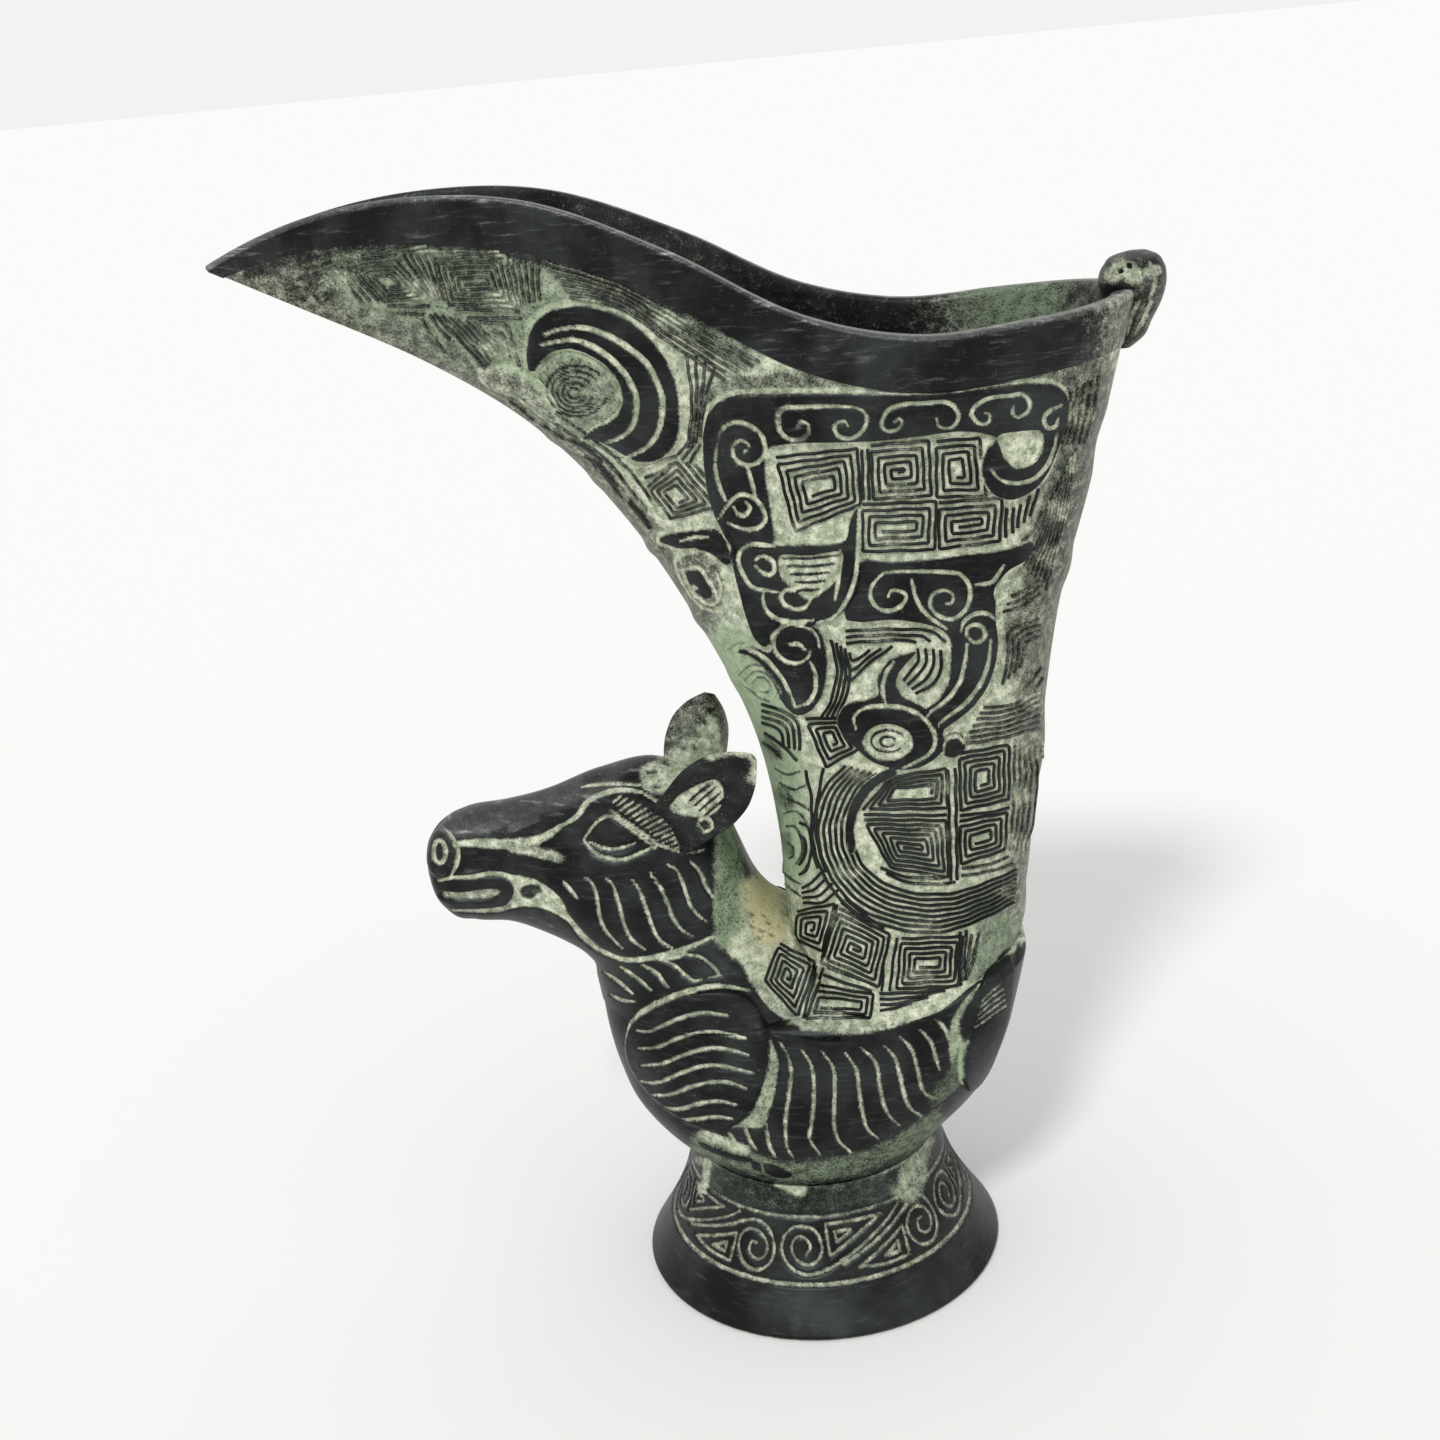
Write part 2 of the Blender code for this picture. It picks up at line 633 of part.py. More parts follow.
def head_swell(x: float, z: float) -> float:
    """How far the head's side swells out at a place seen from the side."""
    total = 0.0
    for swell in HEAD_SWELLS:
        along = (x / MM - swell.x) / swell.reach_along
        up = ((z - DECK) / MM - swell.height) / swell.reach_up
        total += swell.rise * MM * (1 - soft_step(math.hypot(along, up)))
    return total


def head_width(x: float, z: float, share: float, plain: float) -> float:
    """Half width of the neck and head, with shoulders that run out to the belly's side and swellings."""
    sunk = soft_step((share - SHOULDER_FULL_SHARE) / (SHOULDER_END_SHARE - SHOULDER_FULL_SHARE))
    height = max(SHOULDER_HEIGHT * (1 - sunk), CLEARANCE)
    shoulder = 1 - soft_step((z - DECK) / height)
    wide = max(plain, belly.width_at(x, z))
    return plain + (wide - plain) * shoulder + head_swell(x, z)


def head_rings(grow: float) -> list:
    """Rings of the neck and head, each an oval between its low and high end, grown all round."""
    numbers = range(len(HEAD_SLICES))
    low_x, low_z, high_x, high_z, half_width, taper = [
        smooth_curve(list(zip(numbers, values)))
        for values in zip(*[(*row.low, *row.high, row.half_width, row.high_taper) for row in HEAD_SLICES])
    ]
    base = DECK + CLEARANCE
    rings = []
    for step in range((len(HEAD_SLICES) - 1) * HEAD_STEPS + 1):
        at = step / HEAD_STEPS
        low = Vector((low_x(at) * MM, 0, base + low_z(at) * MM))
        high = Vector((high_x(at) * MM, 0, base + high_z(at) * MM))
        along = (high - low).normalized() * grow
        ring = []
        for k in range(HEAD_AROUND):
            turn = 2 * math.pi * k / HEAD_AROUND
            share = (1 - math.cos(turn)) / 2
            point = (low - along).lerp(high + along, share)
            bulge = oval_bulge(share, 0.5, taper(at))
            width = head_width(point.x, point.z, share, half_width(at) * MM * bulge) if bulge else 0.0
            point.y = math.copysign(width + grow * bulge, math.sin(turn))
            ring.append(point)
        rings.append(ring)
    return rings


def build_head(tenon, horn_envelope, ear_sockets: list) -> None:
    """Neck and head: hollowed behind to clear the horn, with a tenon below and two ear sockets."""
    head = new_object("beast_head", skin_mesh("beast_head", head_rings(0.0), looped=False), pieces)
    finish(head)
    for socket in ear_sockets:
        cut(head, socket)
    cut(head, horn_envelope)
    cut(head, tenon, "UNION")


def ear_place(ear: Ear) -> Matrix:
    """Where an ear stands: Z runs to its tip and -Y is its open, outward side."""
    side = math.copysign(1.0, ear.root[1])
    sweep = math.radians(ear.sweep)
    splay = math.radians(ear.splay)
    toe = math.radians(EAR_TOE_IN)
    axis = Vector((math.sin(sweep) * math.cos(splay), side * math.sin(splay),
                   math.cos(sweep) * math.cos(splay)))
    outward = Vector((-math.sin(toe), side * math.cos(toe), 0))
    outward = (outward - axis * outward.dot(axis)).normalized()
    across = axis.cross(outward)
    turned = Matrix((across, -outward, axis)).transposed()
    if turned.determinant() < 0:
        turned = Matrix((-across, -outward, axis)).transposed()
    root = Vector((ear.root[0] * MM, ear.root[1] * MM, DECK + CLEARANCE + ear.root[2] * MM))
    return Matrix.Translation(root) @ turned.to_4x4()


def ear_rings(ear: Ear) -> list:
    """Rings of a leaf bent into a dish, from root to tip."""
    half_widths = smooth_curve(EAR_HALF_WIDTHS)
    shares = [math.sin(math.pi / 2 * k / EAR_STEPS) for k in range(EAR_STEPS + 1)]
    turns = [2 * math.pi * k / EAR_AROUND for k in range(EAR_AROUND)]
    rings = []
    for share in shares:
        half = half_widths(share) * MM
        fullness = half / (max(w for _, w in EAR_HALF_WIDTHS) * MM)
        ring = []
        for turn in turns:
            bend = EAR_DISH * fullness * math.cos(turn) ** 2
            thick = EAR_THICKNESS / 2 * fullness * math.sin(turn)
            ring.append(Vector((half * math.cos(turn), thick - bend, ear.length * MM * share)))
        rings.append(ring)
    return rings


def build_ear(name: str, ear: Ear, peg_mesh, head_envelope) -> None:
    """A dished leaf with a round peg, trimmed where it meets the head."""
    piece = new_object(name, skin_mesh(name, ear_rings(ear), looped=False), pieces)
    finish(piece)
    piece.matrix_local = ear_place(ear)
    peg = cutter_object(name + "_peg", peg_mesh)
    peg.matrix_local = ear_place(ear)
    cut(piece, head_envelope)
    cut(piece, peg, "UNION")


def ear_socket(name: str, ear: Ear) -> bpy.types.Object:
    """The hole in the head for an ear's peg."""
    reach = EAR_PEG_LENGTH + CLEARANCE
    mesh = cylinder_mesh(name, EAR_PEG_RADIUS + CLEARANCE, -reach, reach)
    socket = cutter_object(name, mesh)
    socket.matrix_local = ear_place(ear)
    return socket


def build_rim_beast(horn_envelope) -> None:
    """Small beast that sits on the lip and hangs down behind it."""
    beast_levels = [HORN_SEAT + row.height * MM for row in RIM_BEAST_LEVELS]
    rings = [rim_beast.ring(z)[::2] for z in beast_levels]
    beast = new_object("rim_beast", skin_mesh("rim_beast", rings, looped=False), pieces)
    finish(beast)
    cut(beast, horn_envelope)


def build_horn_envelope() -> bpy.types.Object:
    """The horn and lip as one full body with the fit's clearance round it, for cutting neighbours."""

    def top_line(x: float) -> float:
        return lip_line(x) + CLEARANCE

    low = [HORN_SEAT - CLEARANCE] * AROUND
    high = [horn.height_on(top_line, turn, -CLEARANCE) for turn in TURNS]
    rings = horn.rings_between(low, high, HORN_STEPS, -CLEARANCE)
    return cutter_object("horn_envelope", skin_mesh("horn_envelope", rings, looped=False))


def vase_middle() -> float:
    """X of the middle of the vase, between the spout's tip and the small beast's back."""
    tip = horn.point(0.0, horn.height_on(lip_line, 0.0)).x
    tail = max(row.back for row in RIM_BEAST_LEVELS) * MM
    return (tip + tail) / 2


for old in list(bpy.data.objects):
    bpy.data.objects.remove(old, do_unlink=True)

pieces = bpy.data.collections.new("bronze_vase")
tools = bpy.data.collections.new("bronze_vase_cutters")
for group in (pieces, tools):
    bpy.context.scene.collection.children.link(group)
origin = bpy.data.objects.new("bronze_vase_origin", None)
origin.location = (-vase_middle(), 0.0, 0.0)
pieces.objects.link(origin)

tenon_x = (HEAD_SLICES[0].low[0] * MM) + TENON_SETBACK
tenon_top = DECK + CLEARANCE + TENON_LENGTH
tenon_tool = cutter_object("tenon", cylinder_mesh("tenon", TENON_RADIUS, DECK - TENON_LENGTH, tenon_top))
tenon_tool.location.x = tenon_x
socket_bottom = DECK - TENON_LENGTH - CLEARANCE
socket_mesh = cylinder_mesh("tenon_socket", TENON_RADIUS + CLEARANCE, socket_bottom, tenon_top)
socket_tool = cutter_object("tenon_socket", socket_mesh)
socket_tool.location.x = tenon_x
envelope = build_horn_envelope()
head_shape = cutter_object("head_envelope", skin_mesh("head_envelope", head_rings(CLEARANCE), looped=False))
left_socket = ear_socket("left_ear_socket", LEFT_EAR)
right_socket = ear_socket("right_ear_socket", RIGHT_EAR)
ear_peg = cylinder_mesh("ear_peg", EAR_PEG_RADIUS, -EAR_PEG_LENGTH, EAR_PEG_LENGTH)

build_foot()
build_plug()
build_belly(socket_tool)
build_horn()
build_lip()
build_head(tenon_tool, envelope, [left_socket, right_socket])
build_ear("left_ear", LEFT_EAR, ear_peg, head_shape)
build_ear("right_ear", RIGHT_EAR, ear_peg, head_shape)
build_rim_beast(envelope)
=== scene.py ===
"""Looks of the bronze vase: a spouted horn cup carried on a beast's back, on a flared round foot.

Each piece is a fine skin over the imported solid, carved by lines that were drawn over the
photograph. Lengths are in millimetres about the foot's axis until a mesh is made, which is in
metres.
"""

import logging
import math
from dataclasses import dataclass
from enum import Enum
from typing import Any, Callable, NamedTuple, Sequence

import bmesh
import bpy
import numpy as np
from mathutils import Matrix, Vector
from mathutils.bvhtree import BVHTree


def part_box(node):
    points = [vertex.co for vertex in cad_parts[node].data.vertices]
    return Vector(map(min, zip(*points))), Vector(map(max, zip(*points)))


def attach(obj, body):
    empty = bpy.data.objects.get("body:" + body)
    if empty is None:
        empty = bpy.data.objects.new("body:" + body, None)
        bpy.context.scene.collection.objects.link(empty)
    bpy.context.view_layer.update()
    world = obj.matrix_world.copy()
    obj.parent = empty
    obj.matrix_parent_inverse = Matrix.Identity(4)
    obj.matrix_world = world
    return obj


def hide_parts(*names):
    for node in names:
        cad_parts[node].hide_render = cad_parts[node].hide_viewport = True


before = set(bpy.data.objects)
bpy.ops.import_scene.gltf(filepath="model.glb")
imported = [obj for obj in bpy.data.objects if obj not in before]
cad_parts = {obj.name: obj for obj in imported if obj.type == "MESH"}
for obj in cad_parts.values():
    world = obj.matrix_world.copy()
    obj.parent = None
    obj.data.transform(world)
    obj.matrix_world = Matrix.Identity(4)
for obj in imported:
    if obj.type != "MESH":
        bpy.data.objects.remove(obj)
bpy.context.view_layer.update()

LOG = logging.getLogger("bronze_vase")
MM = 0.001
TINY = 1e-9
Line = Callable[[np.ndarray], np.ndarray]


# Numbers, curves and lines

def soft_step(low: float, high: float, value: np.ndarray) -> np.ndarray:
    """A smooth rise from 0 at low to 1 at high."""
    share = np.clip((np.asarray(value, float) - low) / (high - low), 0.0, 1.0)
    return share * share * (3.0 - 2.0 * share)


class SmoothCurve:
    """A smooth function through given (position, value) points, straight past both ends."""

    def __init__(self, points: Sequence[tuple[float, float]]) -> None:
        """Keep the points and the slope at each of them.

        Args:
            points: The positions and values, in order.
        """
        self.at = np.array([p for p, _ in points], float)
        self.value = np.array([v for _, v in points], float)
        self.slope = np.gradient(self.value, self.at)

    def __call__(self, where: np.ndarray) -> np.ndarray:
        """Follow the curve.

        Args:
            where: Positions along it.

        Returns:
            Its value at each of them.
        """
        x = np.asarray(where, float)
        k = np.clip(np.searchsorted(self.at, x, side="right") - 1, 0, len(self.at) - 2)
        span = self.at[k + 1] - self.at[k]
        s = np.clip((x - self.at[k]) / span, 0.0, 1.0)
        rise = (1 + 2 * s) * (1 - s) ** 2 * self.value[k] + s * s * (3 - 2 * s) * self.value[k + 1]
        lean = s * (1 - s) ** 2 * self.slope[k] - s * s * (1 - s) * self.slope[k + 1]
        before = np.minimum(x - self.at[0], 0.0) * self.slope[0]
        after = np.maximum(x - self.at[-1], 0.0) * self.slope[-1]
        return rise + span * lean + before + after


def drawn(text: str | np.ndarray) -> np.ndarray:
    """Points of a line written as "x,y x,y", in the photograph's pixels.

    Args:
        text: The line, or its points, which are given back as they are.

    Returns:
        An array of points, across and down.
    """
    if isinstance(text, np.ndarray):
        return text
    return np.array([[float(n) for n in pair.split(",")] for pair in text.split()])


def flowing(points: np.ndarray, closed: bool = False, step: float = 2.5) -> np.ndarray:
    """A smooth line through drawn points.

    Args:
        points: The drawn points, in pixels.
        closed: Whether the line runs back to its first point.
        step: Distance between the points of the result, in pixels.

    Returns:
        Points along a curve through all of the drawn points.
    """
    count = len(points)
    if count < 3 and not closed:
        pieces = max(2, int(np.linalg.norm(points[1] - points[0]) / step))
        return points[0] + (points[1] - points[0]) * np.linspace(0, 1, pieces + 1)[:, None]
    if closed:
        ring = np.vstack([points[-1], points, points[:2]])
    else:
        ring = np.vstack([2 * points[0] - points[1], points, 2 * points[-1] - points[-2]])
    parts = []
    for a, b, c, d in zip(ring, ring[1:], ring[2:], ring[3:]):
        pieces = max(1, int(np.linalg.norm(c - b) / step))
        t = (np.arange(pieces) / pieces)[:, None]
        parts.append(0.5 * (2 * b + (c - a) * t + (2 * a - 5 * b + 4 * c - d) * t ** 2
                            + (3 * b - a - 3 * c + d) * t ** 3))
    if not closed:
        parts.append(points[-1:])
    return np.vstack(parts)


def oval(centre: tuple[float, float], radii: tuple[float, float], start: float = 0.0,
         end: float = 2 * math.pi, count: int = 25) -> np.ndarray:
    """Points round an oval, or round a part of it."""
    turn = np.linspace(start, end, count)
    return np.array(centre) + np.array(radii) * np.stack([np.cos(turn), np.sin(turn)], axis=-1)


def full_turn(count: int) -> np.ndarray:
    """Even turns once round, from 0."""
    return np.linspace(0.0, 2 * math.pi, count, endpoint=False)


def nearest_on(points: np.ndarray, line: np.ndarray) -> tuple[np.ndarray, np.ndarray]:
    """The nearest part of a line to each point.

    Args:
        points: The points, in pixels.
        line: Points along the line.

    Returns:
        Each point's distance to the line, and the share of the line's points passed by there.
    """
    nearest = np.full(len(points), np.inf)
    passed = np.zeros(len(points))
    for k, (a, b) in enumerate(zip(line, line[1:])):
        along = b - a
        share = np.clip(((points - a) @ along) / max(along @ along, TINY), 0.0, 1.0)
        gap = points - a - share[:, None] * along
        square = np.einsum("ij,ij->i", gap, gap)
        passed = np.where(square < nearest, (k + share) / (len(line) - 1), passed)
        nearest = np.minimum(nearest, square)
    return np.sqrt(nearest), passed


def distance_to(points: np.ndarray, line: np.ndarray) -> np.ndarray:
    """Distance in pixels from each point to the nearest part of a line."""
    return nearest_on(points, line)[0]


def inside(points: np.ndarray, outline: np.ndarray) -> np.ndarray:
    """Which points lie inside a closed outline.

    Args:
        points: The points, in pixels.
        outline: Points round the outline.

    Returns:
        A true or false for each point.
    """
    odd = np.zeros(len(points), bool)
    for a, b in zip(outline, np.roll(outline, -1, axis=0)):
        if a[1] == b[1]:
            continue
        spans = (points[:, 1] < a[1]) != (points[:, 1] < b[1])
        crossing = a[0] + (points[:, 1] - a[1]) * (b[0] - a[0]) / (b[1] - a[1])
        odd ^= spans & (points[:, 0] < crossing)
    return odd


# The photograph's camera

@dataclass(frozen=True)
class PhotoView:
    """The camera that took the photograph: millimetres about the foot's axis, degrees and pixels."""

    place: tuple[float, float, float] = (9.85, -285.0, 201.74)
    azimuth: float = 4.0
    pitch: float = 19.69
    roll: float = -5.46
    focal: float = 1850.0
    frame_size: float = 1440.0
    sensor: float = 36.0

    def axes(self) -> tuple[np.ndarray, np.ndarray, np.ndarray]:
        """Work out how the camera is turned.

        Returns:
            Directions to the right of the picture, to its top and into it.
        """
        a, p, r = (math.radians(v) for v in (self.azimuth, self.pitch, self.roll))
        into = np.array([-math.sin(a) * math.cos(p), math.cos(a) * math.cos(p), -math.sin(p)])
        level = np.array([math.cos(a), math.sin(a), 0.0])
        upright = np.cross(level, into)
        right = math.cos(r) * level + math.sin(r) * upright
        top = math.cos(r) * upright - math.sin(r) * level
        return right, top, into

    def pixels(self, points: np.ndarray, mirrored: bool = True) -> np.ndarray:
        """Where points fall in the photograph.

        Args:
            points: Points of the vase.
            mirrored: Whether far points are taken on the near side, which the photograph shows.

        Returns:
            Their places in pixels, across and down.
        """
        right, top, into = self.axes()
        near = points.copy()
        if mirrored:
            near[..., 1] = -np.abs(near[..., 1])
        away = near - np.array(self.place)
        depth = away @ into
        middle = self.frame_size / 2
        across = middle + self.focal * (away @ right) / depth
        down = middle - self.focal * (away @ top) / depth
        return np.stack([across, down], axis=-1)

    def sight(self, pixel: np.ndarray) -> np.ndarray:
        """Look from the camera through a pixel.

        Args:
            pixel: Its place in the photograph, across and down.

        Returns:
            The direction, one long.
        """
        right, top, into = self.axes()
        across, down = pixel - self.frame_size / 2
        ray = into + right * across / self.focal - top * down / self.focal
        return ray / np.linalg.norm(ray)

    def set_up(self, axis_x: float) -> None:
        """Make the scene's camera.

        Args:
            axis_x: Where the foot's axis stands along X.
        """
        data = bpy.data.cameras.new("photo_view")
        data.sensor_width = self.sensor
        data.lens = self.sensor * self.focal / self.frame_size
        camera = bpy.data.objects.new("photo_view", data)
        right, top, into = self.axes()
        turned = np.eye(4)
        turned[:3, 0], turned[:3, 1], turned[:3, 2] = right, top, -into
        turned[:3, 3] = (np.array(self.place) + [axis_x, 0.0, 0.0]) * MM
        camera.matrix_world = Matrix(turned.tolist())
        bpy.context.scene.collection.objects.link(camera)
        bpy.context.scene.camera = camera


VIEW = PhotoView()


# Forms shared with the solids

class Level(NamedTuple):
    """A level oval section: its height and reach, and how its two ends taper."""

    height: float
    front: float
    back: float
    half_width: float
    front_taper: float = 0.5
    back_taper: float = 0.5


class Slice(NamedTuple):
    """A slanted oval section of the neck and head, and how its high end tapers."""

    low: tuple[float, float]
    high: tuple[float, float]
    half_width: float
    high_taper: float = 0.5


def oval_bulge(share: np.ndarray, first: np.ndarray, last: np.ndarray) -> np.ndarray:
    """Width of an oval along its length, 1 where it is widest.

    Args:
        share: Share of the way along it.
        first: Taper of its first end, 0.5 for a round one.
        last: Taper of its last end.

    Returns:
        The width at each share.
    """
    fullest = first / (first + last)
    peak = fullest ** first * (1 - fullest) ** last
    share = np.clip(share, 0.0, 1.0)
    return share ** first * (1 - share) ** last / peak


class OvalStack:
    """A shape made of level ovals, which gives points of its skin or of a skin inset from it."""

    halvings: int = 40

    def __init__(self, levels: Sequence[Level], base: float) -> None:
        """Draw a smooth curve through each size of the levels.

        Args:
            levels: The ovals, going up.
            base: Height that theirs are counted from.
        """
        heights = [base + row.height for row in levels]
        self.lowest, self.highest = heights[0], heights[-1]
        self.front, self.back, self.half_width, self.front_taper, self.back_taper = (
            SmoothCurve(list(zip(heights, [row[k] for row in levels]))) for k in range(1, 6))

    def width_at(self, x: np.ndarray, z: np.ndarray) -> np.ndarray:
        """Half width of the shape at a distance along X and a height."""
        share = (x - self.front(z)) / (self.back(z) - self.front(z))
        return self.half_width(z) * oval_bulge(share, self.front_taper(z), self.back_taper(z))

    def skin(self, turn: np.ndarray, z: np.ndarray, inset: float | np.ndarray = 0.0) -> np.ndarray:
        """Points of the skin.

        Args:
            turn: Turn round the oval, 0 in front, pi at the back and past pi on the near side.
            z: Height of each point.
            inset: How far the points lie inside the skin.

        Returns:
            An array of points, with X, Y and Z last.
        """
        turn, z = np.broadcast_arrays(np.asarray(turn, float), np.asarray(z, float))
        lean_front = (self.front(z + 1.0) - self.front(z - 1.0)) / 2.0
        lean_back = (self.back(z + 1.0) - self.back(z - 1.0)) / 2.0
        front = self.front(z) + inset * np.hypot(1.0, lean_front)
        back = self.back(z) - inset * np.hypot(1.0, lean_back)
        share = (1.0 - np.cos(turn)) / 2.0
        bulge = oval_bulge(share, self.front_taper(z), self.back_taper(z))
        y = (self.half_width(z) - inset) * bulge * np.where(np.sin(turn) < -TINY, -1.0, 1.0)
        y = np.where(np.abs(np.sin(turn)) < TINY, 0.0, y)
        return np.stack([front + (back - front) * share, y, z], axis=-1)

    def height_on(self, line: Line, turn: np.ndarray, inset: float = 0.0) -> np.ndarray:
        """Find where the skin, going up, meets a line.

        Args:
            line: Heights over X.
            turn: Turns round the ovals.
            inset: How far the skin lies inside the outer one.

        Returns:
            The height at each turn.
        """
        low = np.full(len(turn), self.lowest)
        high = np.full(len(turn), self.highest)
        for _ in range(self.halvings):
            middle = (low + high) / 2
            below = middle < line(self.skin(turn, middle, inset)[:, 0])
            low = np.where(below, middle, low)
            high = np.where(below, high, middle)
        return (low + high) / 2


@dataclass(frozen=True)
class VaseForms:
    """Heights and forms that the pieces share, as in the solids."""

    foot_height: float = 24.0
    foot_neck_radius: float = 21.5
    deck: float = 52.0
    horn_seat: float = 44.0
    horn_wall: float = 3.2
    clearance: float = 0.3

    def belly(self) -> OvalStack:
        """The beast's body above the foot.

        Returns:
            Its outer form.
        """
        r = self.foot_neck_radius
        rows = (
            Level(0.0, -r, r, r), Level(3.5, -26.0, 24.6, 23.4),
            Level(9.0, -30.8, 29.5, 24.7, 0.5, 0.45), Level(15.0, -33.0, 32.6, 24.8, 0.5, 0.38),
            Level(21.0, -34.2, 34.6, 23.8, 0.5, 0.32),
            Level(27.0, -34.7, 36.0, 22.4, 0.5, 0.28), Level(35.0, -34.8, 37.8, 22.0, 0.5, 0.27),
            Level(45.0, -34.8, 39.3, 22.0, 0.5, 0.27),
        )
        return OvalStack(rows, self.foot_height)

    def horn(self) -> OvalStack:
        """The horn and its spout."""
        rows = (
            Level(0.0, 0.5, 30.0, 17.0), Level(10.0, -1.0, 34.4, 19.7), Level(22.0, -1.7, 38.1, 20.2),
            Level(36.0, -1.9, 40.2, 20.5), Level(56.0, -5.1, 42.7, 21.1, 0.52, 0.5),
            Level(74.0, -12.6, 45.8, 21.8, 0.58, 0.48), Level(92.0, -22.8, 50.9, 22.2, 0.66, 0.46),
            Level(106.0, -34.2, 54.2, 22.5, 0.76, 0.43), Level(118.0, -50.9, 57.0, 22.6, 0.95, 0.40),
            Level(128.0, -69.8, 59.0, 22.5, 1.2, 0.40), Level(144.0, -101.0, 62.5, 22.0, 1.5, 0.40),
        )
        return OvalStack(rows, self.horn_seat)

    def saddle_line(self) -> SmoothCurve:
        """Top edge of the belly against the horn."""
        rows = ((-40.0, 0.0), (-10.0, 0.0), (6.0, -0.6), (14.0, -0.4), (22.0, 2.2), (29.0, 5.6),
                (36.0, 6.8), (44.0, 7.0))
        return SmoothCurve([(x, self.deck + z) for x, z in rows])

    def lip_line(self) -> SmoothCurve:
        """Top edge of the lip and spout."""
        rows = ((-100.0, 124.0), (-82.0, 134.5), (-66.0, 140.2), (-47.0, 142.4), (-30.0, 140.6),
                (-10.0, 132.3), (8.0, 122.4), (24.0, 118.4), (40.0, 118.9), (60.0, 120.4))
        return SmoothCurve([(x, self.horn_seat + z) for x, z in rows])

    def band_line(self) -> Line:
        """Lower edge of the plain band under the lip.

        Returns:
            Its heights over X.
        """
        lip = self.lip_line()
        depth = SmoothCurve(((-84.0, 2.6), (-66.0, 4.6), (-45.0, 7.0), (-10.0, 7.6), (25.0, 8.0),
                             (58.0, 7.6)))
        return lambda x: lip(x) - depth(x)


FORMS = VaseForms()


class Side(Enum):
    """The two sides of the vase's middle plane. The photograph shows the near one."""

    NEAR = "near"
    FAR = "far"


# Relief drawn over the photograph

class Mark(Enum):
    """Finishes kept on a skin's points, which the bronze reads."""

    PATINA = "patina"
    GREEN = "green"
    SOIL = "soil"
    # Rubbed bright wear; the same mark also lays painted sheen, as along the top of the snout
    WEAR = "wear"


